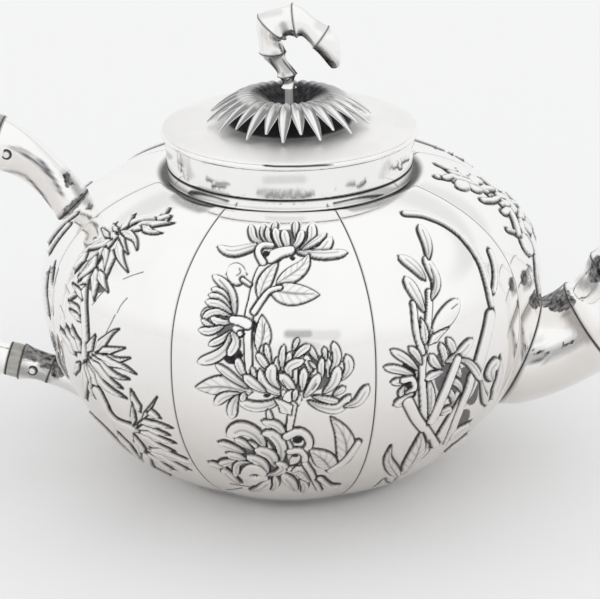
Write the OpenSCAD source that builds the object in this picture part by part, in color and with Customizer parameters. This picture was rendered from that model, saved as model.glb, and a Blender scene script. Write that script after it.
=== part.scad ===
// Silver teapot with a lobed melon body, a lift-off lid with a bamboo hook finial,
// a bamboo spout and a bamboo handle set between two bone insulators.
// Millimetres, +Z up. The origin is on the body's axis, on the plane it stands on.
// The spout points along +X and the handle along -X.

/* [Body] */
// Radius of the body at its waist, on the crest of a lobe
body_r = 65; // [60:1:70]
// Height of the waist above the table
waist_h = 48; // [46:1:52]
// Rise of the full upper curve above the waist
upper_rise = 36.2; // [34:0.2:40]
// Roundness of the upper curve (2 is an ellipse, more is squarer)
upper_power = 2.53; // [2:0.05:3]
// How far below the table the full lower curve would end
lower_sink = 5.8; // [5:0.2:10]
// Roundness of the lower curve
lower_power = 1.96; // [1.8:0.02:2.4]
// Number of lobes round the body
lobes = 8; // [8:4:12]
// Depth of the seams between the lobes at the waist
seam_depth = 1.46; // [0.6:0.1:2.5]
// Thickness of the body's sheet silver
body_wall = 1.2; // [0.9:0.1:1.6]
// Thickness of the flat base plate
base_t = 1; // [0.8:0.1:1.6]
// Outer radius of the foot ring
foot_r = 27; // [22:1:28]
// Height of the foot ring
foot_h = 1.5; // [1:0.5:2]
// Wall of the foot ring
foot_wall = 1.5; // [1:0.25:2.5]

/* [Neck] */
// Clear radius of the mouth
mouth_r = 29.3; // [28:0.1:30]
// Wall of the neck collar inside the mouth
neck_wall = 0.8; // [0.6:0.1:1.2]
// Width of the neck collar's seat beyond its sleeve, where the lid rests
seat_ledge = 1.3; // [1:0.1:2]
// How far the neck collar's foot spreads beyond its seat
neck_flare = 0.3; // [0.1:0.1:1]
// Height of the seat above the foot of the neck collar
neck_rise = 2.8; // [1.8:0.1:4]
// Depth of the collar's sleeve below the seat
sleeve_h = 5; // [4.6:0.2:7]
// How far the lobes fall into the groove round the neck collar's foot
groove_depth = 2; // [1:0.1:3]
// Width of that groove, from the neck collar's foot to the lobes' shoulder
groove_w = 4; // [3:0.2:6]

/* [Lid] */
// How far the lid band's foot stands in from the edge of the seat
band_set = 0.1; // [0.05:0.05:0.4]
// How much wider the lid band is under the rim than at the seat
band_flare = 0.6; // [0.2:0.1:1]
// Height of the lid band
band_h = 7.7; // [6:0.1:10]
// Thickness of the lid band
band_wall = 0.8; // [0.6:0.1:1]
// How far the lid's rim bead stands out beyond the band
rim_out = 0.8; // [0.6:0.1:1.4]
// How far the lid's top stands in from the rim bead
rim_lap = 0.5; // [0.4:0.1:0.8]
// Height of the rim bead
rim_h = 1.6; // [1.2:0.1:2.2]
// Radial width of the rim bead
rim_w = 1.8; // [1.6:0.1:2.4]
// Rise of the lid's top above the rim bead
dome_rise = 1.6; // [1.4:0.1:4]
// Thickness of the lid's top
dome_wall = 0.9; // [0.7:0.1:1.1]
// Roundness of the lid's shoulder (more is flatter with a tighter shoulder)
dome_power = 2.6; // [2:0.1:4]
// Depth of the lid flange inside the mouth
flange_h = 6; // [4:0.5:8]
// Wall of the lid flange
flange_wall = 0.8; // [0.6:0.1:1]
// Thickness of the web that joins the flange to the band
web_t = 1; // [0.8:0.1:1.4]
// Gap between the lid flange and the mouth
flange_gap = 0.25; // [0.15:0.05:0.4]
// Diameter of the steam vent
vent_d = 2; // [1.2:0.2:2.6]
// Distance of the steam vent from the axis
vent_place = 12; // [9:0.5:14]

/* [Leaf collar] */
// Radius of the longer leaf tips
leaf_long_r = 20.8; // [18:0.2:24]
// Radius of the shorter leaf tips
leaf_short_r = 19.2; // [17:0.2:22]
// Radius of the notches between the leaves
leaf_notch_r = 12.6; // [11:0.2:15]
// Number of leaves
leaves = 28; // [20:2:32]
// Radius of the raised ring round the dished centre
crest_r = 10.4; // [9:0.1:11]
// Height of the raised ring above the lid's top
crest_h = 6.6; // [5:0.1:8]
// Height of the dished centre above the lid's top
dish_h = 4.8; // [4:0.1:5.4]
// Gap between the leaf tips and the lid's top
tip_gap = 0.15; // [0.1:0.05:0.6]
// Thickness of the leaf collar
leaf_t = 0.9; // [0.7:0.1:1.2]
// Radius of the boss that stands on the lid
boss_r = 3.2; // [2.6:0.1:4]

/* [Finial] */
// Height of the hook's stem above the dished centre
stem_lift = 3.6; // [3:0.2:5]
// Height of the hook's highest joint above its stem
hook_rise = 17.3; // [15:0.1:20]
// Distance of the hook's end joint from the lid's axis
hook_reach = 11.3; // [9:0.1:14]
// Radius of the hook's thickest joint
hook_r = 4.8; // [4.2:0.1:5.4]
// Radius of the threaded stud
stud_r = 1.3; // [1:0.05:1.4]
// Depth of the stud in the finial
stud_depth = 3; // [2:0.2:4]
// Length of the stud below the lid's top
stud_tail = 6; // [5.4:0.2:8]
// Radius of the washer
washer_r = 5; // [4:0.2:6]
// Thickness of the washer
washer_t = 0.8; // [0.6:0.1:1]
// Width of the nut across its corners
nut_w = 6.4; // [5.5:0.1:8]
// Height of the nut
nut_h = 2.4; // [2:0.1:3]

/* [Spout] */
// Radius of the spout where it meets the body
spout_root_r = 14.2; // [12:0.2:16]
// Radius of the spout's lip
spout_lip_r = 6; // [5:0.2:7]
// Depth of the spout's root below the waist
spout_low = 17; // [15:0.5:20]
// How far inside the body's radius the spout's root starts
spout_sunk = 5.5; // [5:0.5:7]
// Distance of the spout's lip beyond the body's radius
spout_reach = 44.1; // [38:0.1:50]
// Height of the spout's lip above the waist
spout_rise = 40.5; // [34:0.1:46]
// Wall of the spout
spout_wall = 1.1; // [0.9:0.1:1.4]
// Depth of the waist between two bamboo joints of the spout
spout_pinch = 1; // [0:0.1:1.6]
// Diameter of each strainer hole behind the spout
strainer_d = 4.6; // [3:0.2:5]
// Distance of the outer strainer holes from the middle one
strainer_ring = 8; // [7:0.2:9]

/* [Handle] */
// How far inside the body's radius the upper socket starts
upper_root_in = 8.4; // [7:0.1:10]
// Height of the upper socket's root above the waist
upper_root_h = 22; // [20:0.1:24]
// Distance of the upper joint beyond the body's radius
upper_joint_out = 10.3; // [9:0.1:12]
// Height of the upper joint above the waist
upper_joint_h = 38.3; // [36:0.1:41]
// How far inside the body's radius the lower socket starts
lower_root_in = 11.5; // [10:0.1:13]
// Depth of the lower socket's root below the waist
lower_root_drop = 30.5; // [29:0.1:32]
// Distance of the lower joint beyond the body's radius
lower_joint_out = 7.5; // [6:0.1:9]
// Depth of the lower joint below the waist
lower_joint_drop = 22.9; // [21:0.1:24]
// Distance of the grip's back beyond the body's radius
grip_reach = 42.1; // [38:0.1:48]
// Radius of the upper socket at its bone insulator
upper_joint_r = 7.3; // [6.6:0.1:8]
// Radius of the lower socket at its bone insulator
lower_joint_r = 5; // [4.8:0.1:6]
// Radius of the lower insulator
lower_disc_r = 4.6; // [4.4:0.1:5]
// Thickness of the bone insulators
disc_t = 3.4; // [2.4:0.2:4.4]
// Length of the insulators' tenons in the sockets and the grip
tenon_l = 7; // [6.6:0.2:8]
// Radius of the upper insulator's tenons
upper_tenon_r = 3.6; // [3:0.1:4]
// Radius of the lower insulator's tenons
lower_tenon_r = 2.3; // [2:0.1:2.5]
// Wall of the sockets and the grip
handle_wall = 1; // [0.8:0.1:1.3]
// Depth of the waist between two bamboo joints of the grip
grip_pinch = 0.8; // [0:0.1:1.2]
// Radius of the handle pins
pin_r = 1; // [0.8:0.05:1.2]
// Depth of the waist in the upper and in the lower socket
upper_socket_pinch = 1.2; // [0:0.1:1.6]
lower_socket_pinch = 0.5; // [0:0.1:1]
// Distance of each pin from the face of its insulator
pin_place = 3.6; // [3:0.2:4.4]

/* [Hidden] */

$fn = 96;
solder_gap = 0.1;        // room for solder between two soldered pieces
fit_gap = 0.05;          // radial clearance of a pin, stud or tenon
lobe_steps = 8;          // facets across one lobe
tube_sides = 20;         // facets round a handle or finial section
spout_sides = 24;        // facets round a spout section
tube_steps = 5;          // rings along one bamboo section
silver = [0.86, 0.86, 0.85];
bone = [0.80, 0.76, 0.68];

// ---- sizes that follow from the driving sizes ----
lower_drop = waist_h + lower_sink;
seat_r = mouth_r + neck_wall + seat_ledge;
neck_foot_r = seat_r + neck_flare;
band_low_r = seat_r - band_set;
band_top_r = band_low_r + band_flare;
rim_r = band_top_r + rim_out;
neck_foot_z = waist_h + rise_at(neck_foot_r) - groove_depth;
seat_z = neck_foot_z + neck_rise;
band_top_z = seat_z + band_h;
rim_top_z = band_top_z + rim_h;
lid_top_z = rim_top_z + dome_rise;
dish_z = lid_top_z + dish_h;
stem_z = dish_z + stem_lift;
body_hole_r = mouth_r + neck_wall + solder_gap;
shoulder_r = neck_foot_r + groove_w;

// ---- body surface ----
// Height of the upper curve above the waist at radius r
function rise_at(r) = upper_rise * pow(1 - pow(r / body_r, upper_power), 1 / upper_power);
// Radius of a quarter curve at height h, for a curve of radius r, height full and power p
function quarter(r, h, full, p) = r * pow(max(0, 1 - pow(min(1, h / full), p)), 1 / p);
// Crest radius of the body at height z, inset by t
function crest(z, t = 0) = z > waist_h
  ? quarter(body_r - t, z - waist_h, upper_rise - t, upper_power)
  : quarter(body_r - t, waist_h - z, lower_drop - t, lower_power);
// Place across a lobe: 0 on the crest and 1 on a seam; crests lie on the X and Y axes
function across(a) = let (u = a * lobes / 360) 2 * abs(u - round(u));
// Share of the crest radius that is left at angle a
function lobe(a) = 1 - seam_depth / body_r * pow(across(a), 2);

body_sides = lobes * lobe_steps;
groove_rows = 5;
shoulder_step = 0.8;
upper_rows = 12;
lower_rows = 13;
// Heights of the rings from the mouth down to the base, closer where the curve is flat
function upper_zs(r_end, t) = let (
  top = rise_at_inset(r_end, t), a = asin(pow(top / (upper_rise - t), upper_power / 2)))
  [for (i = [0 : upper_rows - 1])
    waist_h + (upper_rise - t) * pow(sin(a * (1 - i / upper_rows)), 2 / upper_power)];
function rise_at_inset(r, t) = (upper_rise - t)
  * pow(1 - pow(r / (body_r - t), upper_power), 1 / upper_power);
function lower_zs(z_end, t) = let (
  a = asin(pow((waist_h - z_end) / (lower_drop - t), lower_power / 2)))
  [for (i = [0 : lower_rows])
    waist_h - (lower_drop - t) * pow(sin(a * i / lower_rows), 2 / lower_power)];
function body_ring(z, t) = [for (k = [0 : body_sides - 1])
  let (a = 360 * k / body_sides, r = crest(z, t) * lobe(a)) [r * cos(a), r * sin(a), z]];
// How far the lobes lie below their own curve at radius r, in the groove round the neck collar
function groove(r) =
  groove_depth * (1 + cos(180 * min(1, max(0, (r - neck_foot_r) / groove_w)))) / 2;
function groove_ring(r, t) = [for (k = [0 : body_sides - 1])
  let (a = 360 * k / body_sides)
  [r * cos(a), r * sin(a), waist_h + rise_at_inset(r / lobe(a), t) - groove(r)]];
function groove_rs() = concat([body_hole_r], [for (i = [0 : groove_rows]) neck_foot_r + groove_w * i / groove_rows]);
function body_rings(z_end, t) = concat(
  [for (r = groove_rs()) groove_ring(r, t)],
  [for (z = concat(upper_zs((shoulder_r + shoulder_step) / lobe(180 / lobes), t), lower_zs(z_end, t)))
    body_ring(z, t)]);

// ---- skins through rings of points ----
// One closed surface through a loop of rings, each with the same number of points
module ring_loop(rings) {
  n = len(rings[0]);
  m = len(rings);
  polyhedron(
    points = [for (ring = rings) for (p = ring) p],
    faces = [for (i = [0 : m - 1]) for (k = [0 : n - 1])
      let (a = i * n + k, b = i * n + (k + 1) % n, c = (i + 1) % m * n + (k + 1) % n, d = (i + 1) % m * n + k)
      for (f = [[a, b, c], [a, c, d]]) f]);
}

// The same with flat caps on the first and last rings
module ring_stack(rings) {
  n = len(rings[0]);
  m = len(rings);
  polyhedron(
    points = [for (ring = rings) for (p = ring) p],
    faces = concat(
      [for (i = [0 : m - 2]) for (k = [0 : n - 1])
        let (a = i * n + k, b = i * n + (k + 1) % n, c = (i + 1) * n + (k + 1) % n, d = (i + 1) * n + k)
        for (f = [[a, b, c], [a, c, d]]) f],
      [[for (k = [n - 1 : -1 : 0]) k]],
      [[for (k = [0 : n - 1]) (m - 1) * n + k]]));
}

function reversed(list) = [for (i = [len(list) - 1 : -1 : 0]) list[i]];

// ---- bamboo sections ----
// A joint is [x, z, heading, radius]; heading is the angle from +X towards +Z along the tube
function between(a, b, share) = a + (b - a) * share;
// The centre line's point, heading and radius at share t of the way from joint a to joint b
function station(a, b, t, pinch) = let (
  pull = norm([b[0] - a[0], b[1] - a[1]]),
  from = pull * [cos(a[2]), sin(a[2])],
  to = pull * [cos(b[2]), sin(b[2])],
  start = [a[0], a[1]],
  end = [b[0], b[1]],
  place = (2 * t * t * t - 3 * t * t + 1) * start + (t * t * t - 2 * t * t + t) * from
    + (3 * t * t - 2 * t * t * t) * end + (t * t * t - t * t) * to)
  // The rings turn evenly from joint to joint, so that they never cross on the inner side of a bend
  [place[0], place[1], between(a[2], b[2], t), between(a[3], b[3], t) - pinch * pow(sin(180 * t), 0.7)];
function stations(joints, pinch) = concat(
  [for (i = [0 : len(joints) - 2]) for (j = [0 : tube_steps - 1])
    station(joints[i], joints[i + 1], j / tube_steps, pinch)],
  [station(joints[len(joints) - 2], joints[len(joints) - 1], 1, 0)]);
// Point k of the ring round a station, inset by t
function ring_point(s, k, sides, t) = let (turn = 360 * k / sides, r = s[3] - t)
  [s[0] - r * cos(turn) * sin(s[2]), r * sin(turn), s[1] + r * cos(turn) * cos(s[2])];
function section(s, sides, t = 0) = [for (k = [0 : sides - 1]) ring_point(s, k, sides, t)];
function sections(list, sides, t = 0) = [for (s = list) section(s, sides, t)];

// ---- where a tube leaves the body ----
function outside(p) = norm([p[0], p[1]]) > crest(p[2]) * lobe(atan2(p[1], p[0])) + solder_gap;
// A station between joints a and b; a share below 0 runs straight back from a
function first_station(a, b, share, pinch) = share < 0
  ? ahead(a, share * norm([b[0] - a[0], b[1] - a[1]])) : station(a, b, share, pinch);
// The share at which line k along the tube comes out of the body, found by halving the span
function exit_share(a, b, k, sides, t, pinch, low = -0.8, high = 1, n = 18) = let (mid = (low + high) / 2)
  n == 0 ? high
  : outside(ring_point(first_station(a, b, mid, pinch), k, sides, t))
    ? exit_share(a, b, k, sides, t, pinch, low, mid, n - 1)
    : exit_share(a, b, k, sides, t, pinch, mid, high, n - 1);
// The rings of a tube whose first ring lies on the body
function seated_sections(joints, sides, t, pinch) = let (
  a = joints[0], b = joints[1],
  exits = [for (k = [0 : sides - 1]) exit_share(a, b, k, sides, t, pinch)])
  concat(
    [for (i = [0 : tube_steps - 1]) [for (k = [0 : sides - 1])
      ring_point(first_station(a, b, between(exits[k], 1, i / tube_steps), pinch), k, sides, t)]],
    len(joints) > 2 ? sections(stations(tail(joints), pinch), sides, t) : [section(b, sides, t)]);

// An open tube of sheet through a list of joints
module tube(joints, sides, wall, pinch, seated = false) {
  line = stations(joints, pinch);
  outer = seated ? seated_sections(joints, sides, 0, pinch) : sections(line, sides);
  inner = seated ? seated_sections(joints, sides, wall, pinch) : sections(line, sides, wall);
  ring_loop(concat(outer, reversed(inner)));
}
function tail(list) = [for (i = [1 : len(list) - 1]) list[i]];

// Children drawn with +Z along the heading of a joint
module at_joint(j) {
  translate([j[0], 0, j[1]]) rotate([0, 90 - j[2], 0]) children();
}
function ahead(j, d) = [j[0] + d * cos(j[2]), j[1] + d * sin(j[2]), j[2], j[3]];

// ---- joints of the spout, the handle and the finial ----
spout_z = waist_h - spout_low;
// A joint of the spout at shares of its reach, of its rise and of its taper
function spout_joint(out, up, heading, wide) = [body_r + spout_reach * out,
  between(spout_z, waist_h + spout_rise, up), heading, between(spout_lip_r, spout_root_r, wide)];
spout_joints = [
  [body_r - spout_sunk, spout_z, 0, spout_root_r],
  spout_joint(0.2948, 0.1391, 36, 0.7927),
  spout_joint(0.4717, 0.3687, 58, 0.5244),
  spout_joint(0.6349, 0.6, 60, 0.3171),
  spout_joint(0.8254, 0.8348, 56, 0.1707),
  spout_joint(1, 1, 48, 0)];
upper_socket_joints = [
  [-body_r + upper_root_in, waist_h + upper_root_h, 125, upper_joint_r * 0.7534],
  [-body_r - upper_joint_out, waist_h + upper_joint_h, 163, upper_joint_r]];
lower_socket_joints = [
  [-body_r + lower_root_in, waist_h - lower_root_drop, 152, lower_joint_r * 0.84],
  [-body_r + between(lower_root_in, -lower_joint_out, 0.5947),
    waist_h - between(lower_root_drop, lower_joint_drop, 0.7237), 158, lower_joint_r * 0.8],
  [-body_r - lower_joint_out, waist_h - lower_joint_drop, 166, lower_joint_r]];
upper_joint = upper_socket_joints[1];
lower_joint = lower_socket_joints[2];
grip_start = ahead(upper_joint, disc_t);
grip_end = ahead(lower_joint, disc_t);
// A joint of the grip at shares of its reach, of its height and of its taper
function grip_joint(out, up, heading, wide) = [-body_r - grip_reach * out,
  between(lower_joint[1], upper_joint[1], up), heading, between(lower_disc_r, upper_joint_r, wide)];
grip_joints = [
  grip_start,
  grip_joint(0.7482, 1.0049, 203, 0.7778),
  grip_joint(0.9952, 0.7663, 250, 0.5926),
  grip_joint(1, 0.4559, 283, 0.4444),
  grip_joint(0.7482, 0.1699, 320, 0.2593),
  [grip_end[0], grip_end[1], lower_joint[2] + 180, lower_disc_r]];
// A joint of the hook at shares of its reach, of its rise and of its thickest radius
function hook_joint(out, up, heading, wide) =
  [hook_reach * out, stem_z + hook_rise * up, heading, hook_r * wide];
finial_joints = [
  hook_joint(0, 0, 90, 0.3958),
  hook_joint(-0.0354, 0.185, 100, 0.5417),
  hook_joint(-0.354, 0.526, 92, 0.7292),
  hook_joint(-0.3628, 0.9017, 49, 1),
  hook_joint(0.1416, 1, 8, 0.9375),
  hook_joint(0.7168, 0.7572, -36, 0.7292),
  hook_joint(1, 0.3699, -78, 0.25)];
finial_pinch = 0.8;
hook_tip_r = 0.5;        // radius of the hook's rounded end
hook_tip_l = 0.7;        // length of the hook's rounded end
finial_tip = ahead(finial_joints[6], hook_tip_l);

// ---- body ----
module strainer_holes() {
  for (place = concat([[0, 0]], [for (a = [0 : 60 : 300]) strainer_ring * [cos(a), sin(a)]]))
    translate([body_r / 2, place[0], spout_z + place[1]])
      rotate([0, 90, 0]) cylinder(d = strainer_d, h = body_r, $fn = 20);
}

module body_shell() {
  color(silver) difference() {
    ring_loop(concat(body_rings(foot_h, 0), reversed(body_rings(foot_h + base_t + solder_gap, body_wall))));
    strainer_holes();
  }
}

base_r = crest(foot_h + base_t + solder_gap, body_wall) * lobe(180 / lobes) - solder_gap;
module base_plate() {
  color(silver) translate([0, 0, foot_h]) cylinder(r = base_r, h = base_t);
}

module foot_ring() {
  color(silver) difference() {
    cylinder(r = foot_r, h = foot_h);
    translate([0, 0, -1]) cylinder(r = foot_r - foot_wall, h = foot_h + 2);
  }
}

foot_lip = 0.35;
module neck_collar() {
  sleeve_r = mouth_r + neck_wall;
  under = [for (i = [0 : 4]) let (r = sleeve_r + (neck_foot_r - sleeve_r) * i / 4)
    [r, waist_h + rise_at(r) - groove(r) + solder_gap]];
  cove = [for (i = [0 : 5]) let (u = i / 5)
    [neck_foot_r + (seat_r - neck_foot_r) * u,
      neck_foot_z + foot_lip + (neck_rise - foot_lip) * pow(u, 2)]];
  color(silver) rotate_extrude() polygon(concat(
    [[mouth_r, seat_z - sleeve_h], [sleeve_r, seat_z - sleeve_h]], under, cove, [[mouth_r, seat_z]]));
}

// ---- lid ----
flange_r = mouth_r - flange_gap;
module lid_flange() {
  color(silver) rotate_extrude() polygon([
    [flange_r - flange_wall, seat_z - flange_h], [flange_r, seat_z - flange_h], [flange_r, seat_z],
    [band_low_r - band_wall - solder_gap, seat_z], [band_low_r - band_wall - solder_gap, seat_z + web_t],
    [flange_r - flange_wall, seat_z + web_t]]);
}

module lid_band() {
  color(silver) rotate_extrude() polygon([
    [band_low_r - band_wall, seat_z], [band_low_r, seat_z],
    [band_top_r, band_top_z], [band_top_r - band_wall, band_top_z]]);
}

module lid_rim() {
  bead = rim_h / 2;
  color(silver) translate([0, 0, band_top_z]) rotate_extrude() union() {
    translate([rim_r - rim_w, 0]) square([rim_w - bead, rim_h]);
    translate([rim_r - bead, bead]) intersection() {
      circle(r = bead);
      translate([0, -bead]) square([bead, rim_h]);
    }
  }
}

dome_r = rim_r - rim_lap;
// Height of the lid's top at radius r, and of its underside
function dome_z(r) = rim_top_z + dome_rise * sqrt(1 - pow(r / dome_r, dome_power));
function dome_under_z(r) =
  rim_top_z + (dome_rise - dome_wall) * sqrt(1 - pow(r / (dome_r - dome_wall), dome_power));
module lid_top() {
  steps = 14;
  over = [for (i = [0 : steps]) let (r = dome_r * sin(90 * i / steps)) [r, dome_z(r)]];
  inner_r = dome_r - dome_wall;
  under = [for (i = [0 : steps]) let (r = inner_r * sin(90 * i / steps)) [r, dome_under_z(r)]];
  color(silver) difference() {
    rotate_extrude() polygon(concat(over, reversed(under)));
    translate([0, 0, rim_top_z - 1]) cylinder(r = stud_r + fit_gap, h = dome_rise + 2, $fn = 32);
    translate([0, vent_place, rim_top_z - 1]) cylinder(d = vent_d, h = dome_rise + 2, $fn = 32);
  }
}

// ---- leaf collar ----
crest_z = lid_top_z + crest_h;
tip_z = dome_z(leaf_long_r) + tip_gap + leaf_t;
// Height of the leaves at radius r: a dished centre, a raised ring, then leaves that fall to the lid
function leaf_z(r) = r < crest_r
  ? dish_z + (crest_z - dish_z) * (1 - cos(180 * r / crest_r)) / 2
  : crest_z - (crest_z - tip_z) * pow((r - crest_r) / (leaf_long_r - crest_r), 1.7);
module leaf_collar() {
  steps = 14;
  reach = leaf_long_r + 1;
  over = [for (i = [0 : steps]) let (r = reach * i / steps) [r, leaf_z(min(r, leaf_long_r))]];
  star = [for (k = [0 : leaves - 1]) for (half = [0, 1])
    let (a = 360 * (k + half / 2) / leaves,
      r = half == 1 ? leaf_notch_r : k % 2 == 0 ? leaf_long_r : leaf_short_r)
    r * [cos(a), sin(a)]];
  color(silver) difference() {
    union() {
      intersection() {
        rotate_extrude() polygon(concat(over, reversed([for (p = over) [p[0], p[1] - leaf_t]])));
        translate([0, 0, rim_top_z]) linear_extrude(crest_z - rim_top_z + 5) polygon(star);
      }
      translate([0, 0, lid_top_z]) cylinder(r = boss_r, h = dish_h - leaf_t / 2);
    }
    translate([0, 0, lid_top_z - 1]) cylinder(r = stud_r + fit_gap, h = dish_h + 4, $fn = 32);
  }
}

// ---- finial ----
module finial() {
  color(silver) difference() {
    ring_stack(concat(sections(stations(finial_joints, finial_pinch), tube_sides),
      [section(concat([finial_tip[0], finial_tip[1], finial_tip[2]], [hook_tip_r]), tube_sides)]));
    translate([0, 0, stem_z - 1]) cylinder(r = stud_r + fit_gap, h = stud_depth + 1, $fn = 32);
  }
}

module finial_stud() {
  bottom = lid_top_z - stud_tail;
  color(silver) translate([0, 0, bottom]) cylinder(r = stud_r, h = stem_z + stud_depth - bottom, $fn = 32);
}

washer_z = dome_under_z(washer_r) - washer_t;
module finial_washer() {
  color(silver) translate([0, 0, washer_z]) difference() {
    cylinder(r = washer_r, h = washer_t);
    translate([0, 0, -1]) cylinder(r = stud_r + fit_gap, h = washer_t + 2, $fn = 32);
  }
}

module finial_nut() {
  color(silver) translate([0, 0, washer_z - nut_h]) difference() {
    cylinder(d = nut_w, h = nut_h, $fn = 6);
    translate([0, 0, -1]) cylinder(r = stud_r + fit_gap, h = nut_h + 2, $fn = 32);
  }
}

// ---- spout ----
module spout_section(i) {
  color(silver) tube([spout_joints[i], spout_joints[i + 1]], spout_sides, spout_wall, spout_pinch, i == 0);
}
module spout_root() { spout_section(0); }
module spout_lower() { spout_section(1); }
module spout_middle() { spout_section(2); }
module spout_upper() { spout_section(3); }
module spout_tip() { spout_section(4); }

// ---- handle ----
// A hole or a pin along Y through the tube, d past the joint j
module cross(j, d, r, half) {
  p = ahead(j, d);
  translate([p[0], half, p[1]]) rotate([90, 0, 0]) cylinder(r = r, h = 2 * half, $fn = 32);
}

upper_back = [upper_joint[0], upper_joint[1], upper_joint[2] + 180, upper_joint[3]];
lower_back = [lower_joint[0], lower_joint[1], lower_joint[2] + 180, lower_joint[3]];
module upper_pin_cuts(r) {
  cross(upper_back, pin_place, r, 20);
  cross(grip_start, pin_place, r, 20);
}
module lower_pin_cuts(r) {
  cross(lower_back, pin_place, r, 20);
  cross(grip_end, pin_place, r, 20);
}

module upper_socket() {
  color(silver) difference() {
    tube(upper_socket_joints, tube_sides, handle_wall, upper_socket_pinch, true);
    upper_pin_cuts(pin_r + fit_gap);
  }
}

module lower_socket() {
  color(silver) difference() {
    tube(lower_socket_joints, tube_sides, handle_wall, lower_socket_pinch, true);
    lower_pin_cuts(pin_r + fit_gap);
  }
}

// A bone disc with a tenon on each face
module insulator(j, disc_r, tenon_r) {
  at_joint(j) {
    cylinder(r = disc_r, h = disc_t);
    translate([0, 0, -tenon_l]) cylinder(r = tenon_r, h = disc_t + 2 * tenon_l);
  }
}

module upper_insulator() {
  color(bone) difference() {
    insulator(upper_joint, upper_joint_r, upper_tenon_r);
    upper_pin_cuts(pin_r + fit_gap);
  }
}

module lower_insulator() {
  color(bone) difference() {
    insulator(lower_joint, lower_disc_r, lower_tenon_r);
    lower_pin_cuts(pin_r + fit_gap);
  }
}

module grip_section(i) {
  color(silver) difference() {
    tube([grip_joints[i], grip_joints[i + 1]], tube_sides, handle_wall, grip_pinch);
    if (i == 0) upper_pin_cuts(pin_r + fit_gap);
    if (i == 4) lower_pin_cuts(pin_r + fit_gap);
  }
}
module grip_shoulder() { grip_section(0); }
module grip_back_upper() { grip_section(1); }
module grip_back() { grip_section(2); }
module grip_back_lower() { grip_section(3); }
module grip_tail() { grip_section(4); }

// Each pin goes right through a tube that is this much slimmer there than at its joint, and stands proud
pin_waist = 0.5;
pin_proud = 0.2;
module upper_pins() {
  color(silver) {
    cross(upper_back, pin_place, pin_r, upper_joint_r - pin_waist + pin_proud);
    cross(grip_start, pin_place, pin_r, upper_joint_r - pin_waist + pin_proud);
  }
}

module lower_pins() {
  color(silver) {
    cross(lower_back, pin_place, pin_r, lower_joint_r - pin_waist + pin_proud);
    cross(grip_end, pin_place, pin_r, lower_disc_r - pin_waist + pin_proud);
  }
}

body_shell();
base_plate();
foot_ring();
neck_collar();
lid_flange();
lid_band();
lid_rim();
lid_top();
leaf_collar();
finial();
finial_stud();
finial_washer();
finial_nut();
spout_root();
spout_lower();
spout_middle();
spout_upper();
spout_tip();
upper_socket();
lower_socket();
upper_insulator();
lower_insulator();
grip_shoulder();
grip_back_upper();
grip_back();
grip_back_lower();
grip_tail();
upper_pins();
lower_pins();
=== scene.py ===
# The looks of a silver teapot: a lobed melon body with chased flowers, a lift-off lid with a leaf
# collar and a bamboo hook, a bamboo spout, and a bamboo handle between two bone insulators.
# Lengths are in millimetres up to the moment a mesh is placed, which is in metres.
import math

import bpy
import numpy as np
from mathutils import Matrix, Vector


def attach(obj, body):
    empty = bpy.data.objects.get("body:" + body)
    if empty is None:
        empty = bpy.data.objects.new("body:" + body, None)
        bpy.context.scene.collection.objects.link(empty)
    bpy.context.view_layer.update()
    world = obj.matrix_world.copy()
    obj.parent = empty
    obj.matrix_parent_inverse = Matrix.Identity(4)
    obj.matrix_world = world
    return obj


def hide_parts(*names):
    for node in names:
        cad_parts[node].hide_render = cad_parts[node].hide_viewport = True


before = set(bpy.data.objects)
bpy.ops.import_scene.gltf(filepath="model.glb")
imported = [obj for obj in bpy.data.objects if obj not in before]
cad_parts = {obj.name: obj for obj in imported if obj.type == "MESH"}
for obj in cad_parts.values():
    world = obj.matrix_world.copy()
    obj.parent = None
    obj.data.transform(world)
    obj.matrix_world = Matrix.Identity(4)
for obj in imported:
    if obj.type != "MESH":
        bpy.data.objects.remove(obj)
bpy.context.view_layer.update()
MM = 0.001
PICTURE_SIZE = (600, 599)

# ---------------------------------------------------------------- camera
WAIST_H = 48.0
CAMERA_DISTANCE = 576.114
CAMERA_AZIMUTH = 4.473615
CAMERA_ELEVATION = 21.62181
CAMERA_PAN, CAMERA_TILT, CAMERA_ROLL = -0.213740, -0.356702, 0.742772
LENS_PIXELS = 2206.09
SENSOR_WIDTH = 36.0


def camera_frame():
    """The camera's place in millimetres, and its right, up and forward directions."""
    azimuth, elevation = math.radians(CAMERA_AZIMUTH), math.radians(CAMERA_ELEVATION)
    out = Vector((math.sin(azimuth) * math.cos(elevation),
                  -math.cos(azimuth) * math.cos(elevation), math.sin(elevation)))
    forward = -out
    right = forward.cross(Vector((0, 0, 1))).normalized()
    up = right.cross(forward)
    pan = Matrix.Rotation(math.radians(CAMERA_PAN), 3, up)
    forward, right = pan @ forward, pan @ right
    tilt = Matrix.Rotation(math.radians(CAMERA_TILT), 3, right)
    forward, up = tilt @ forward, tilt @ up
    roll = Matrix.Rotation(math.radians(CAMERA_ROLL), 3, forward)
    return out * CAMERA_DISTANCE + Vector((0, 0, WAIST_H)), roll @ right, roll @ up, forward


CAMERA_PLACE, CAMERA_RIGHT, CAMERA_UP, CAMERA_FORWARD = camera_frame()


def make_camera():
    lens = bpy.data.cameras.new("camera")
    lens.sensor_width = SENSOR_WIDTH
    lens.lens = LENS_PIXELS / PICTURE_SIZE[0] * SENSOR_WIDTH
    camera = bpy.data.objects.new("camera", lens)
    bpy.context.scene.collection.objects.link(camera)
    turn = Matrix((CAMERA_RIGHT, CAMERA_UP, -CAMERA_FORWARD)).transposed().to_4x4()
    camera.matrix_world = Matrix.Translation(CAMERA_PLACE * MM) @ turn
    bpy.context.scene.camera = camera


make_camera()
bpy.context.scene.view_settings.view_transform = "Standard"

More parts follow.
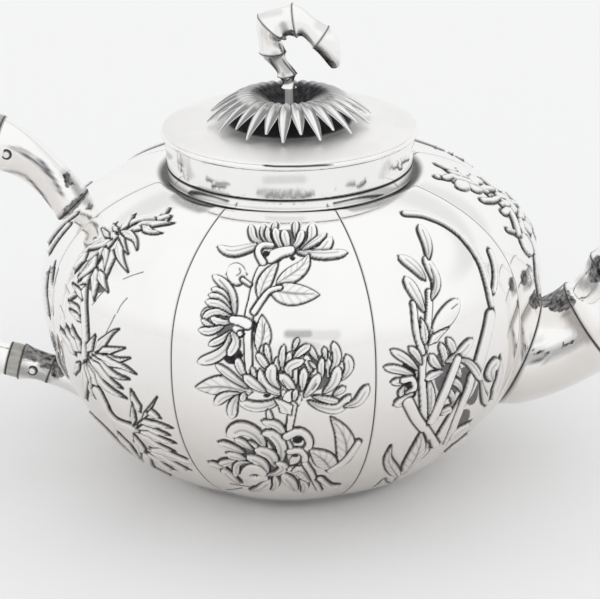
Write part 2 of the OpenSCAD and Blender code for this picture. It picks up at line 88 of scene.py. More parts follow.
# ---------------------------------------------------------------- sizes shared with the construction
BODY_R = 65.0
UPPER_RISE, UPPER_POWER = 36.2, 2.53
LOWER_DROP, LOWER_POWER = 53.8, 1.96
LOBES = 8
SEAM_DEPTH = 1.46
BODY_WALL = 1.2
FOOT_H = 1.5
SOLDER_GAP = 0.1
MOUTH_R, NECK_WALL = 29.3, 0.8
BODY_HOLE_R = MOUTH_R + NECK_WALL + SOLDER_GAP
SEAT_R = 31.4
NECK_FOOT_R = 31.7
NECK_RISE, SLEEVE_H = 2.8, 5.0
GROOVE_DEPTH, GROOVE_W = 2.0, 4.0
BAND_LOW_R, BAND_TOP_R, BAND_H, BAND_WALL = 31.3, 31.9, 7.7, 0.8
RIM_R, RIM_H, RIM_W = 32.7, 1.6, 1.8
DOME_R, DOME_RISE, DOME_WALL, DOME_POWER = 32.2, 1.6, 0.9, 2.6
LEAF_LONG_R, LEAF_SHORT_R, LEAF_NOTCH_R = 20.8, 19.2, 12.6
LEAVES = 28
CREST_R, CREST_H, DISH_H = 10.4, 6.6, 4.8
LEAF_T, TIP_GAP, BOSS_R = 0.9, 0.15, 3.2
DISH_DEPTH = 4.6
STEM_LIFT = 3.6
STUD_R = 1.35
SPOUT_WALL, HANDLE_WALL = 1.1, 1.0
DISC_T, TENON_L = 3.4, 7.0
PIN_R, PIN_PLACE, PIN_PROUD, PIN_WAIST = 1.0, 3.6, 0.2, 0.5


def rise_at(r):
    return UPPER_RISE * (1 - (r / BODY_R) ** UPPER_POWER) ** (1 / UPPER_POWER)


def groove(r):
    """How far the body falls into the groove round the neck at a radius."""
    share = np.clip((np.asarray(r) - NECK_FOOT_R) / GROOVE_W, 0, 1)
    return GROOVE_DEPTH * (1 + np.cos(np.pi * share)) / 2


NECK_FOOT_Z = WAIST_H + rise_at(NECK_FOOT_R) - GROOVE_DEPTH
SEAT_Z = NECK_FOOT_Z + NECK_RISE
BAND_TOP_Z = SEAT_Z + BAND_H
RIM_TOP_Z = BAND_TOP_Z + RIM_H
LID_TOP_Z = RIM_TOP_Z + DOME_RISE
DISH_Z = LID_TOP_Z + DISH_H
CREST_Z = LID_TOP_Z + CREST_H
STEM_Z = DISH_Z + STEM_LIFT


def crest(z):
    """Radius of the body on a lobe's crest at height z."""
    z = np.asarray(z, dtype=float)
    up = np.clip((z - WAIST_H) / UPPER_RISE, 0, 1)
    down = np.clip((WAIST_H - z) / LOWER_DROP, 0, 1)
    return np.where(z > WAIST_H,
                    BODY_R * (1 - up ** UPPER_POWER) ** (1 / UPPER_POWER),
                    BODY_R * (1 - down ** LOWER_POWER) ** (1 / LOWER_POWER))


def lobe(angle):
    """Share of the crest radius that is left at an angle in radians; crests lie on the X and Y axes."""
    u = np.asarray(angle) * LOBES / (2 * np.pi)
    return 1 - SEAM_DEPTH / BODY_R * (2 * np.abs(u - np.round(u))) ** 2


# ---------------------------------------------------------------- modelling helpers
def nothing_selected():
    if bpy.context.mode != "OBJECT":
        bpy.ops.object.mode_set(mode="OBJECT")
    bpy.ops.object.select_all(action="DESELECT")


def only(piece):
    nothing_selected()
    piece.select_set(True)
    bpy.context.view_layer.objects.active = piece


def apply_place(piece):
    only(piece)
    bpy.ops.object.transform_apply(location=True, rotation=True, scale=True)


def edit(piece):
    only(piece)
    bpy.ops.object.mode_set(mode="EDIT")


def leave_edit():
    bpy.ops.object.mode_set(mode="OBJECT")


def apply_modifiers(piece):
    only(piece)
    for modifier in list(piece.modifiers):
        bpy.ops.object.modifier_apply(modifier=modifier.name)


def points_of(piece):
    places = np.empty(len(piece.data.vertices) * 3)
    piece.data.vertices.foreach_get("co", places)
    return places.reshape(-1, 3)


def radii_of(piece):
    """Distances of a piece's points from the Z axis, in millimetres."""
    return np.hypot(*points_of(piece)[:, :2].T) / MM


def normals_of(piece):
    normals = np.empty(len(piece.data.vertices) * 3)
    piece.data.vertices.foreach_get("normal", normals)
    return normals.reshape(-1, 3)


def set_points(piece, places):
    piece.data.vertices.foreach_set("co", np.ascontiguousarray(places, dtype=np.float32).reshape(-1))
    piece.data.update()


def select_open_edges():
    bpy.ops.mesh.select_all(action="DESELECT")
    bpy.ops.mesh.select_mode(type="EDGE")
    bpy.ops.mesh.select_non_manifold(extend=False, use_wire=False, use_boundary=True,
                                     use_multi_face=False, use_non_contiguous=False, use_verts=False)


def join_open_edges():
    """Bridges the two open ends of a skin, which makes it a closed loop."""
    select_open_edges()
    bpy.ops.mesh.bridge_edge_loops()
    bpy.ops.mesh.select_mode(type="VERT")


def close_ends():
    """Fills each open end of a skin with one flat face."""
    select_open_edges()
    bpy.ops.mesh.edge_face_add()
    bpy.ops.mesh.select_mode(type="VERT")


def face_outwards():
    bpy.ops.mesh.select_all(action="SELECT")
    bpy.ops.mesh.normals_make_consistent(inside=False)


def smooth(piece, angle=40):
    only(piece)
    bpy.ops.object.shade_smooth_by_angle(angle=math.radians(angle))


def finished(piece, name, material, body, *nodes, slot="silver"):
    """Names a piece, gives it its material, and says what it rides on and which nodes it stands for."""
    piece.name = name
    piece.data.name = name
    piece.data.materials.clear()
    piece.data.materials.append(material)
    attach(piece, body)
    if nodes:
        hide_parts(*nodes)
    return piece


def joined(first, *others):
    only(first)
    for other in others:
        other.select_set(True)
    bpy.ops.object.join()
    return first


def point_values(piece, name, values):
    attribute = piece.data.attributes.get(name) or piece.data.attributes.new(name, "FLOAT", "POINT")
    attribute.data.foreach_set("value", np.ascontiguousarray(values, dtype=np.float32))


def picture_of(places):
    """The picture points at which the camera sees places given in millimetres."""
    gone = np.asarray(places) - np.array(CAMERA_PLACE)
    depth = gone @ np.array(CAMERA_FORWARD)
    return np.stack([PICTURE_SIZE[0] / 2 + LENS_PIXELS * (gone @ np.array(CAMERA_RIGHT)) / depth,
                     PICTURE_SIZE[1] / 2 - LENS_PIXELS * (gone @ np.array(CAMERA_UP)) / depth], axis=1)


def strokes_of(text):
    """The kind, half width and picture points of each line of a drawing."""
    for kind, width, *points in (line.split() for line in text.strip().splitlines()):
        yield kind, float(width), np.array([[float(n) for n in point.split(",")] for point in points])


def nearest_on_line(p, middle):
    """Distance from each place to a line, the share along it, and the side it lies on."""
    best, along, side = np.full(len(p), 1e9), np.zeros(len(p)), np.zeros(len(p))
    count = len(middle) - 1
    for i, (a, b) in enumerate(zip(middle, middle[1:])):
        ab = b - a
        t = np.clip(((p - a) @ ab) / max(ab @ ab, 1e-12), 0, 1)
        off = p - a - t[:, None] * ab
        d = (off ** 2).sum(axis=1)
        closer = d < best
        best = np.where(closer, d, best)
        along = np.where(closer, (i + t) / count, along)
        side = np.where(closer, np.sign(ab[0] * off[:, 1] - ab[1] * off[:, 0]), side)
    return np.sqrt(best), along, side


FULL_DARK = 0.985        # the darkness at which patina and painted shade are black
# Painted shade and reflections: what each kind of mark is kept as, and how strong it is
MARKS = {"blot": ("reflection_blot", 1.0), "soot": ("patina_and_shade", FULL_DARK), "dusk": ("patina_and_shade", 0.84),
         "grey": ("patina_and_shade", 0.48), "haze": ("patina_and_shade", 0.18), "brown": ("floor_reflection", 1.0)}
MARK_REACH = 1.5         # where a mark has faded out, in half widths
FLOOR_REFLECTION_LEAN, FLOOR_REFLECTION_GAIN = 0.35, 2   # the painted floor reflection is lean - gain x the upright part of the normal


def mark_share(distance, width):
    """How much of a mark lies at a distance from its line."""
    return np.clip(MARK_REACH - distance / width, 0, 1)


def paint_patina_shade_and_reflections(piece, text="", patina_and_shade=0.0, low=0.6, mirrored=True):
    """Paints shade and reflections on a piece over its patina: where a drawing has them, the same on the
    far side, and a painted floor reflection on the faces that look down."""
    places = points_of(piece) / MM
    if mirrored:
        places[:, 1] = -np.abs(places[:, 1])
    seen = picture_of(places)
    field = {"patina_and_shade": patina_and_shade + np.zeros(len(places)), "reflection_blot": np.zeros(len(places)),
             "floor_reflection": low * np.clip(FLOOR_REFLECTION_LEAN - FLOOR_REFLECTION_GAIN * normals_of(piece)[:, 2], 0, 1)}
    for kind, width, points in strokes_of(text):
        name, level = MARKS[kind]
        share = mark_share(nearest_on_line(seen, points)[0], width)
        field[name] = np.maximum(field[name], level * share)
    for name, values in field.items():
        point_values(piece, name, values)


def curve_points(start, end, count, place):
    return [place(start + (end - start) * i / count) for i in range(count + 1)]


def arc(r, z, radius, start, end, count):
    """Points of an arc about (r, z), from one angle in degrees to another."""
    return curve_points(start, end, count, lambda a: (r + radius * math.cos(math.radians(a)),
                                                      z + radius * math.sin(math.radians(a))))


def turned(outline, sides=180, capped=False):
    """A shape turned about the Z axis: a closed ring from a closed outline of (radius, height) points, or
    a solid from an outline that runs from end to end."""
    nothing_selected()
    r, z = outline[0]
    bpy.ops.mesh.primitive_circle_add(vertices=sides, radius=r * MM, location=(0, 0, z * MM))
    piece = bpy.context.object
    apply_place(piece)
    edit(piece)
    bpy.ops.mesh.select_all(action="SELECT")
    for next_r, next_z in outline[1:]:
        bpy.ops.mesh.extrude_region_move(
            TRANSFORM_OT_translate={"value": (0, 0, (next_z - z) * MM)})
        bpy.ops.transform.resize(value=(next_r / r, next_r / r, 1), center_override=(0, 0, next_z * MM))
        r, z = next_r, next_z
    if capped:
        close_ends()
    else:
        join_open_edges()
    face_outwards()
    leave_edit()
    return piece


# ---------------------------------------------------------------- materials
BRIGHT = (0.955, 0.95, 0.942, 1)
# the black of the patina and of painted shade and reflections
SHADE_AND_PATINA_BLACK = (0.022, 0.022, 0.026, 1)
# the tint of the pale floor and its shade as the silver reflects them, painted on low and down-facing parts
FLOOR_REFLECTION_TINT = (0.83, 0.80, 0.77, 1)
# Noises of worn silver: scale, detail and roughness
PATCHES, PORES, RAGS, SPECKS = (45, 4, 0.55), (900, 3, 0.6), (480, 6, 0.7), (700, 3, 0.6)
GRAIN, DENTS, SCUFFS = (260, 5, 0.6), (70, 2, 0.5), (2600, 2, 0.5)
WORN_SHARE = 0.35        # how much of a patch's tarnish shows
DARK_ROUGHER = 0.4       # what the old finish adds to the roughness
DENT_DEPTH = 0.0006      # of the dents, in metres
# Bone: colours at levels of its grain, the grain's scale and its stretch along the piece
BONE_TINT = ((0.3, (0.31, 0.30, 0.275, 1)), (0.62, (0.50, 0.485, 0.455, 1)))
BONE_GRAIN, BONE_DETAIL, BONE_STRETCH = 700, 4, (0.25, 1, 1)
BONE_ROUGHNESS, BONE_COAT = 0.38, 0.2
BONE_RELIEF, BONE_DEPTH = 0.25, 0.0002


def new_material(name):
    material = bpy.data.materials.new(name)
    material.use_nodes = True
    nodes = material.node_tree.nodes
    return material, nodes, material.node_tree.links, nodes["Principled BSDF"]


def add_bump(nodes, links, height, shader, strength, distance):
    bump = nodes.new("ShaderNodeBump")
    bump.inputs["Strength"].default_value = strength
    bump.inputs["Distance"].default_value = distance
    links.new(height, bump.inputs["Height"])
    links.new(bump.outputs["Normal"], shader.inputs["Normal"])


def make_tarnish_and_shade_group():
    """Colour, roughness and fine relief of worn silver: random patches of tarnish, patina and painted shade
    in its hollows, painted dark reflections in ragged blots, and a painted floor reflection on its low
    parts."""
    group = bpy.data.node_groups.new("worn silver with painted shade", "ShaderNodeTree")
    make = group.interface.new_socket
    for name, kind, value in (("Hollow", "NodeSocketFloat", 0.0), ("Reflection Blot", "NodeSocketFloat", 0.0),
                              ("Floor Reflection", "NodeSocketFloat", 0.0), ("Bright", "NodeSocketColor", BRIGHT),
                              ("Dark", "NodeSocketColor", SHADE_AND_PATINA_BLACK), ("Floor Tint", "NodeSocketColor", FLOOR_REFLECTION_TINT),
                              ("Polish", "NodeSocketFloat", 0.07), ("Tarnish", "NodeSocketFloat", 0.3)):
        make(name=name, in_out="INPUT", socket_type=kind).default_value = value
    make(name="Color", in_out="OUTPUT", socket_type="NodeSocketColor")
    make(name="Roughness", in_out="OUTPUT", socket_type="NodeSocketFloat")
    make(name="Height", in_out="OUTPUT", socket_type="NodeSocketFloat")
    nodes, links = group.nodes, group.links
    given, out = nodes.new("NodeGroupInput"), nodes.new("NodeGroupOutput")
    place = nodes.new("ShaderNodeTexCoord")

    def noise(scale, detail, rough):
        made = nodes.new("ShaderNodeTexNoise")
        made.inputs["Scale"].default_value = scale
        made.inputs["Detail"].default_value = detail
        made.inputs["Roughness"].default_value = rough
        links.new(place.outputs["Object"], made.inputs["Vector"])
        return made.outputs["Fac"]

    def spread(value, low, high, to_low, to_high):
        made = nodes.new("ShaderNodeMapRange")
        ends = {"From Min": low, "From Max": high, "To Min": to_low, "To Max": to_high}
        for socket, number in ends.items():
            made.inputs[socket].default_value = number
        links.new(value, made.inputs["Value"])
        return made.outputs["Result"]

    def calc(kind, a, b):
        made = nodes.new("ShaderNodeMath")
        made.operation = kind
        made.use_clamp = kind != "ADD"
        for socket, value in zip(made.inputs, (a, b)):
            if isinstance(value, (int, float)):
                socket.default_value = value
            else:
                links.new(value, socket)
        return made.outputs[0]

    def mixed(share, a, b):
        made = nodes.new("ShaderNodeMix")
        made.data_type = "RGBA"
        links.new(share, made.inputs["Factor"])
        links.new(a, made.inputs["A"])
        links.new(b, made.inputs["B"])
        return made.outputs["Result"]

    blotches = spread(noise(*PATCHES), 0.45, 0.75, 0, 1)
    worn = calc("MULTIPLY", calc("MULTIPLY", blotches, given.outputs["Tarnish"]), WORN_SHARE)
    # patina in the hollows, together with painted shade in creases, gaps and under the leaves
    hollow = calc("MULTIPLY", given.outputs["Hollow"], spread(noise(*PORES), 0.25, 0.6, 0.93, 1.0))
    # painted dark reflections, given ragged edges
    ragged = calc("ADD", given.outputs["Reflection Blot"], spread(noise(*RAGS), 0.25, 0.75, -0.42, 0.42))
    specks = spread(noise(*SPECKS), 0.3, 0.65, 0.55, 1.0)
    reflection_blot = calc("MULTIPLY", spread(ragged, 0.44, 0.60, 0, 1), specks)
    dark = calc("MAXIMUM", calc("MAXIMUM", worn, hollow), reflection_blot)
    # the painted floor reflection tints the bright silver
    floor_reflected = mixed(given.outputs["Floor Reflection"], given.outputs["Bright"], given.outputs["Floor Tint"])
    links.new(mixed(dark, floor_reflected, given.outputs["Dark"]), out.inputs["Color"])
    fine = spread(noise(*GRAIN), 0.3, 0.7, 0.0, 0.05)
    rough = calc("ADD", calc("ADD", given.outputs["Polish"], fine), calc("MULTIPLY", dark, DARK_ROUGHER))
    links.new(rough, out.inputs["Roughness"])
    dents = spread(noise(*DENTS), 0, 1, 0, 1)
    scuffs = spread(noise(*SCUFFS), 0, 1, 0, 0.02)
    links.new(calc("ADD", dents, scuffs), out.inputs["Height"])
    return group


TARNISH_AND_SHADE = make_tarnish_and_shade_group()


def make_silver(name, polish, tarnish, dent, bright=BRIGHT):
    material, nodes, links, shader = new_material(name)
    shader.inputs["Metallic"].default_value = 1.0
    worn = nodes.new("ShaderNodeGroup")
    worn.node_tree = TARNISH_AND_SHADE
    worn.inputs["Polish"].default_value = polish
    worn.inputs["Tarnish"].default_value = tarnish
    worn.inputs["Bright"].default_value = bright
    # patina with painted shade, painted dark reflections, and the painted floor reflection
    for attribute, socket in (("patina_and_shade", "Hollow"), ("reflection_blot", "Reflection Blot"), ("floor_reflection", "Floor Reflection")):
        mark = nodes.new("ShaderNodeAttribute")
        mark.attribute_name = attribute
        links.new(mark.outputs["Fac"], worn.inputs[socket])
    links.new(worn.outputs["Color"], shader.inputs["Base Color"])
    links.new(worn.outputs["Roughness"], shader.inputs["Roughness"])
    add_bump(nodes, links, worn.outputs["Height"], shader, dent, DENT_DEPTH)
    return material


def make_bone():
    material, nodes, links, shader = new_material("bone")
    place = nodes.new("ShaderNodeTexCoord")
    grain = nodes.new("ShaderNodeTexNoise")
    grain.inputs["Scale"].default_value = BONE_GRAIN
    grain.inputs["Detail"].default_value = BONE_DETAIL
    stretch = nodes.new("ShaderNodeMapping")
    stretch.inputs["Scale"].default_value = BONE_STRETCH
    links.new(place.outputs["Object"], stretch.inputs["Vector"])
    links.new(stretch.outputs["Vector"], grain.inputs["Vector"])
    tint = nodes.new("ShaderNodeValToRGB")
    for element, (position, color) in zip(tint.color_ramp.elements, BONE_TINT):
        element.position = position
        element.color = color
    links.new(grain.outputs["Fac"], tint.inputs["Fac"])
    links.new(tint.outputs["Color"], shader.inputs["Base Color"])
    shader.inputs["Roughness"].default_value = BONE_ROUGHNESS
    shader.inputs["Coat Weight"].default_value = BONE_COAT
    add_bump(nodes, links, grain.outputs["Fac"], shader, BONE_RELIEF, BONE_DEPTH)
    return material


CHASED = make_silver("chased silver", polish=0.05, tarnish=0.12, dent=0.05)
POLISHED = make_silver("polished silver", polish=0.05, tarnish=0.12, dent=0.05)
CROWN = make_silver("satin silver", polish=0.42, tarnish=0.25, dent=0.04, bright=(0.94, 0.935, 0.925, 1))
COLLAR = make_silver("leaf silver", polish=0.16, tarnish=0.3, dent=0.1)
BAMBOO = make_silver("bamboo silver", polish=0.06, tarnish=0.2, dent=0.1)
BONE = make_bone()


# ---------------------------------------------------------------- floor and light
FLOOR_SIZE = 8           # in metres
FLOOR_COLOR = (0.932, 0.935, 0.939, 1)
# Greys of the studio's walls, each at a height from 0, level with the floor, to 1, overhead
FRONT_WALL = ((0.0, 0.90), (0.25, 0.98), (1.0, 1.0))
FAR_WALL = ((0.0, 0.92), (0.43, 0.97), (0.50, 0.84), (0.58, 0.84), (0.66, 1.0))
FAR_FROM = 0.35          # how far round the far wall is fully seen


def make_stage():
    nothing_selected()
    bpy.ops.mesh.primitive_plane_add(size=FLOOR_SIZE, location=(0, 0, 0))
    floor = bpy.context.object
    floor.name = "floor"
    material, _, _, shader = new_material("pale floor")
    shader.inputs["Base Color"].default_value = FLOOR_COLOR
    shader.inputs["Roughness"].default_value = 0.9
    shader.inputs["Specular IOR Level"].default_value = 0.1
    floor.data.materials.append(material)


def make_world():
    """A pale studio, white all round but for a soft grey band on its far side, below the ceiling."""
    world = bpy.data.worlds.new("studio")
    bpy.context.scene.world = world
    world.use_nodes = True
    nodes, links = world.node_tree.nodes, world.node_tree.links
    background = nodes["Background"]
    place = nodes.new("ShaderNodeTexCoord")
    apart = nodes.new("ShaderNodeSeparateXYZ")
    links.new(place.outputs["Generated"], apart.inputs["Vector"])

    def wall(levels):
        ramp = nodes.new("ShaderNodeValToRGB")
        elements = ramp.color_ramp.elements
        while len(elements) < len(levels):
            elements.new(0.5)
        for element, (height, grey) in zip(elements, levels):
            element.position = height
            element.color = (grey, grey, grey, 1)
        links.new(apart.outputs["Z"], ramp.inputs["Fac"])
        return ramp.outputs["Color"]

    front, far = wall(FRONT_WALL), wall(FAR_WALL)
    facing = nodes.new("ShaderNodeMapRange")
    facing.inputs["From Min"].default_value = 0.0
    facing.inputs["From Max"].default_value = FAR_FROM
    links.new(apart.outputs["Y"], facing.inputs["Value"])
    walls = nodes.new("ShaderNodeMix")
    walls.data_type = "RGBA"
    links.new(facing.outputs["Result"], walls.inputs["Factor"])
    links.new(front, walls.inputs["A"])
    links.new(far, walls.inputs["B"])
    links.new(walls.outputs["Result"], background.inputs["Color"])
    background.inputs["Strength"].default_value = 1.0


make_stage()
make_world()

# ---------------------------------------------------------------- body: the surface of a lobe
WAVE_ROWS = 4000


def make_meridian():
    """The crest line from the mouth to the foot: distance run, radius and height."""
    top = math.asin((rise_at(BODY_HOLE_R / (1 - SEAM_DEPTH / BODY_R)) / UPPER_RISE) ** (UPPER_POWER / 2))
    low = math.asin(((WAIST_H - FOOT_H) / LOWER_DROP) ** (LOWER_POWER / 2))
    rise = np.linspace(top, 0, WAVE_ROWS)
    fall = np.linspace(0, low, WAVE_ROWS)[1:]
    r = BODY_R * np.concatenate([np.cos(rise) ** (2 / UPPER_POWER), np.cos(fall) ** (2 / LOWER_POWER)])
    z = WAIST_H + np.concatenate([UPPER_RISE * np.sin(rise) ** (2 / UPPER_POWER),
                                  -LOWER_DROP * np.sin(fall) ** (2 / LOWER_POWER)])
    run = np.concatenate([[0], np.cumsum(np.hypot(np.diff(r), np.diff(z)))])
    return run, r, z


RUN, RUN_R, RUN_Z = make_meridian()
RUN_LENGTH = RUN[-1]
HALF_LOBE = np.pi / LOBES


def run_at(z):
    return np.interp(-np.asarray(z), -RUN_Z, RUN)


def surface(angle, run):
    """Points of the plain body at an angle and a distance run down the crest line."""
    r, z = np.interp(run, RUN, RUN_R) * lobe(angle), np.interp(run, RUN, RUN_Z) + 0 * angle
    return np.stack([r * np.cos(angle), r * np.sin(angle), z - groove(r) * (z > WAIST_H)], axis=-1)


# Distances from the camera between which the body is looked for, and how finely
NEAR_BODY, FAR_BODY, BODY_STEPS, HALVINGS = 480, 600, 481, 24


def pixels_on_body(pixels):
    """The points of the body that the camera sees at these picture points."""
    pixels = np.atleast_2d(np.asarray(pixels, dtype=float))
    across = (pixels[:, 0] - PICTURE_SIZE[0] / 2) / LENS_PIXELS
    up = (PICTURE_SIZE[1] / 2 - pixels[:, 1]) / LENS_PIXELS
    ray = (np.outer(np.ones(len(pixels)), CAMERA_FORWARD) + np.outer(across, CAMERA_RIGHT)
           + np.outer(up, CAMERA_UP))
    start = np.array(CAMERA_PLACE)

    def depth(t):
        p = start + ray * t[..., None]
        return np.hypot(p[..., 0], p[..., 1]) - crest(p[..., 2]) * lobe(np.arctan2(p[..., 1], p[..., 0]))

    steps = np.linspace(NEAR_BODY, FAR_BODY, BODY_STEPS)
    outside = np.stack([depth(np.full(len(pixels), t)) for t in steps], axis=1)
    first = np.where((outside <= 0).any(axis=1), (outside <= 0).argmax(axis=1), outside.argmin(axis=1))
    high = steps[first]
    low = steps[np.maximum(first - 1, 0)]
    for _ in range(HALVINGS):
        middle = (low + high) / 2
        inside = depth(middle) <= 0
        high, low = np.where(inside, middle, high), np.where(inside, low, middle)
    return start + ray * high[:, None]


class Sheet:
    """One lobe of the body laid out flat: across is millimetres from its crest line and run is down it."""

    def __init__(self, centre, columns, rows):
        self.centre = centre
        self.turn = np.linspace(-1, 1, columns + 1)[None, :] * HALF_LOBE
        self.from_seam = HALF_LOBE - np.abs(self.turn)
        self.run = np.linspace(0, RUN_LENGTH, rows + 1)[:, None]
        self.across = self.turn * np.interp(self.run, RUN, RUN_R)
        self.run = np.broadcast_to(self.run, self.across.shape)
        self.height = np.zeros(self.across.shape)
        self.dark = np.zeros(self.across.shape)
        self.haze = np.zeros(self.across.shape)

    def lay_out(self, pixels):
        """Picture points as places on the flat sheet."""
        p = pixels_on_body(pixels)
        turn = (np.arctan2(p[:, 1], p[:, 0]) - self.centre + np.pi) % (2 * np.pi) - np.pi
        run = run_at(p[:, 2])
        return np.stack([turn * np.interp(run, RUN, RUN_R), run], axis=1)


SEAM_CUT, SEAM_W, SEAM_DARK = 0.22, 0.30, 0.85
PIT_W, PIT_LENGTH, PIT_DARK = 1.6, 3.4, 0.85
# Painted shade in the groove at distances from the neck's foot, and strength of the painted floor
# reflection at heights
GROOVE_FADE = ([1.0, 1.7, 2.6], [0.92, 0.6, 0])
FLOOR_REFLECTION_FADE = ([20, 38, 62], [1.0, 0.85, 0])
SEAM_MARGIN = 0.5        # strip beside a seam that has no relief
RELIEF_FADE = 0.8        # width over which the relief dies out there and at a lobe's ends
INNER_STEP = 4           # the inner face has every fourth point of the outer one
INNER_DARK = 0.1


def seam_groove(sheet):
    """The chased line between two lobes, half of it on each."""
    r = np.interp(sheet.run, RUN, RUN_R)
    gap = sheet.from_seam * r
    share = np.clip(1 - gap / SEAM_W, 0, 1)
    return -SEAM_CUT * share ** 1.2, SEAM_DARK * np.clip(share * 1.6, 0, 1)


def neck_dark(sheet, plain):
    """Painted shade in the groove round the neck's foot, and in the pits where the seams run into it."""
    from_neck = np.hypot(plain[..., 0], plain[..., 1]) - NECK_FOOT_R + 99 * (plain[..., 2] < WAIST_H)
    seam = sheet.from_seam * BODY_HOLE_R
    pit = np.clip(1.3 - seam / PIT_W - from_neck / PIT_LENGTH, 0, 1)
    return np.maximum(np.interp(from_neck, *GROOVE_FADE), PIT_DARK * pit)


def lobe_normals(sheet, plain, angle):
    """Outward directions over a lobe, level along its seams so that neighbours meet."""
    down, round_ = np.gradient(plain, axis=0), np.gradient(plain, axis=1)
    normal = np.cross(down, round_)
    normal /= np.linalg.norm(normal, axis=2, keepdims=True)
    side = np.stack([-np.sin(angle), np.cos(angle), np.zeros_like(angle)], axis=-1)
    lean = (normal * side).sum(axis=2, keepdims=True) * side
    at_seam = np.clip(1 - sheet.from_seam / (0.1 * HALF_LOBE), 0, 1)
    normal = normal - lean * at_seam[..., None]
    return normal / np.linalg.norm(normal, axis=2, keepdims=True)


def lobe_panel(sheet, name):
    """A lobe's dense outer face, raised by the sheet's drawing, and the plain inner face behind it."""
    groove_height, line = seam_groove(sheet)
    edge = np.minimum(sheet.run, RUN_LENGTH - sheet.run)
    to_seam = sheet.from_seam * np.interp(sheet.run, RUN, RUN_R)
    edge = np.minimum(edge, to_seam - SEAM_MARGIN)
    fade = np.clip(edge / RELIEF_FADE, 0, 1)
    height = sheet.height * fade + groove_height
    angle = sheet.centre + np.broadcast_to(sheet.turn, height.shape)
    plain = surface(angle, sheet.run)
    dark = np.maximum(np.maximum(sheet.dark * fade, line), sheet.haze)
    dark = np.maximum(dark, neck_dark(sheet, plain))
    normal = lobe_normals(sheet, plain, angle)
    outer = place_grid(plain + normal * height[..., None], name)
    point_values(outer, "patina_and_shade", grid_order(outer, dark))
    # a painted reflection of the floor, stronger towards the foot
    point_values(outer, "floor_reflection", grid_order(outer, np.interp(plain[..., 2], *FLOOR_REFLECTION_FADE)))
    inner = place_grid((plain - normal * BODY_WALL)[::INNER_STEP, ::INNER_STEP], name + "_inner")
    point_values(inner, "patina_and_shade", np.full(len(inner.data.vertices), INNER_DARK))
    edit(inner)
    bpy.ops.mesh.select_all(action="SELECT")
    bpy.ops.mesh.flip_normals()
    leave_edit()
    piece = joined(outer, inner)
    edit(piece)
    join_open_edges()
    bpy.ops.mesh.select_all(action="DESELECT")
    leave_edit()
    return piece


def place_grid(places, name):
    """A grid with a vertex at each of an array of places, rows first, facing the way its rows turn."""
    rows, columns = places.shape[:2]
    nothing_selected()
    bpy.ops.mesh.primitive_grid_add(x_subdivisions=columns - 1, y_subdivisions=rows - 1, size=2)
    piece = bpy.context.object
    piece.name = name
    flat = points_of(piece)
    column = np.round((flat[:, 0] + 1) / 2 * (columns - 1)).astype(int)
    row = np.round((1 - flat[:, 1]) / 2 * (rows - 1)).astype(int)
    order = row * columns + column
    point_values(piece, "grid_order", order.astype(float))
    set_points(piece, places.reshape(-1, 3)[order] * MM)
    return piece


def grid_order(piece, values):
    """Values given in rows, in the order of a placed grid's vertices."""
    order = np.empty(len(piece.data.vertices), dtype=np.float32)
    piece.data.attributes["grid_order"].data.foreach_get("value", order)
    return values.reshape(-1)[np.round(order).astype(int)]


# ---------------------------------------------------------------- body: chased strokes
CHASED_EDGE = 0.20       # width of a stroke's steep side
CHASED_LINE = 2.1        # width of the punched line round a stroke, in picture points
STROKE_SPREAD = 1.08     # a stroke's real width over its drawn one
STROKE_MORE = 0.35       # and what is added to its half width, in picture points
PLAIN_LIFT, TIP_LIFT, CROWN_LIFT, GROUND_LIFT = 0.44, 0.14, 0.20, -0.12
PUNCH_DEPTH = 0.14       # depth of a cut line and of the punched line round a stroke
LINE_DARK = 0.9          # of a cut line
RING_GAIN, RING_SINK = 1.9, 0.6   # fullness of the line round a stroke, and how far it sinks others
# Painted shade on the sunken ground between strokes, and what a patch with a smaller half width adds to it
GROUND_DARK, SMALL_GROUND, SMALL_GROUND_MORE = 0.84, 2.2, 0.16
LARGEST_SCALE, LARGEST_LINE_SCALE = 0.6, 0.4   # most millimetres that a picture point may stand for


def flowing_line(points, count):
    """Points evenly along a smooth line through the given ones."""
    points = np.asarray(points, dtype=float)
    if len(points) == 2:
        return points
    ends = np.vstack([2 * points[0] - points[1], points, 2 * points[-1] - points[-2]])
    made = []
    for a, b, c, d in zip(ends, ends[1:], ends[2:], ends[3:]):
        t = np.linspace(0, 1, 12, endpoint=False)[:, None]
        made.append(0.5 * (2 * b + (c - a) * t + (2 * a - 5 * b + 4 * c - d) * t ** 2
                           + (3 * b - a - 3 * c + d) * t ** 3))
    line = np.vstack(made + [points[-1:]])
    run = np.concatenate([[0], np.cumsum(np.hypot(*np.diff(line, axis=0).T))])
    at = np.linspace(0, run[-1], count)
    return np.stack([np.interp(at, run, line[:, 0]), np.interp(at, run, line[:, 1])], axis=1)


def leaf_width(t):
    return np.sin(np.pi * np.clip(t, 0, 1) ** 0.8) ** 0.8


def petal_width(t):
    return 1.05 * t ** 0.5 * (1 - np.clip(t, 0, 1) ** 4) ** 0.6


def lance_width(t):
    return np.clip(np.minimum(t / 0.3, (1 - t) / 0.7), 0, 1)


def bud_width(t):
    return np.sqrt(np.clip(1 - (2 * t - 1) ** 2, 0, 1))


def stem_width(t):
    return 1 - 0.25 * t


WIDTH_OF = {"leaf": leaf_width, "petal": petal_width, "lance": lance_width, "bud": bud_width,
            "ground": bud_width, "stem": stem_width, "line": stem_width}


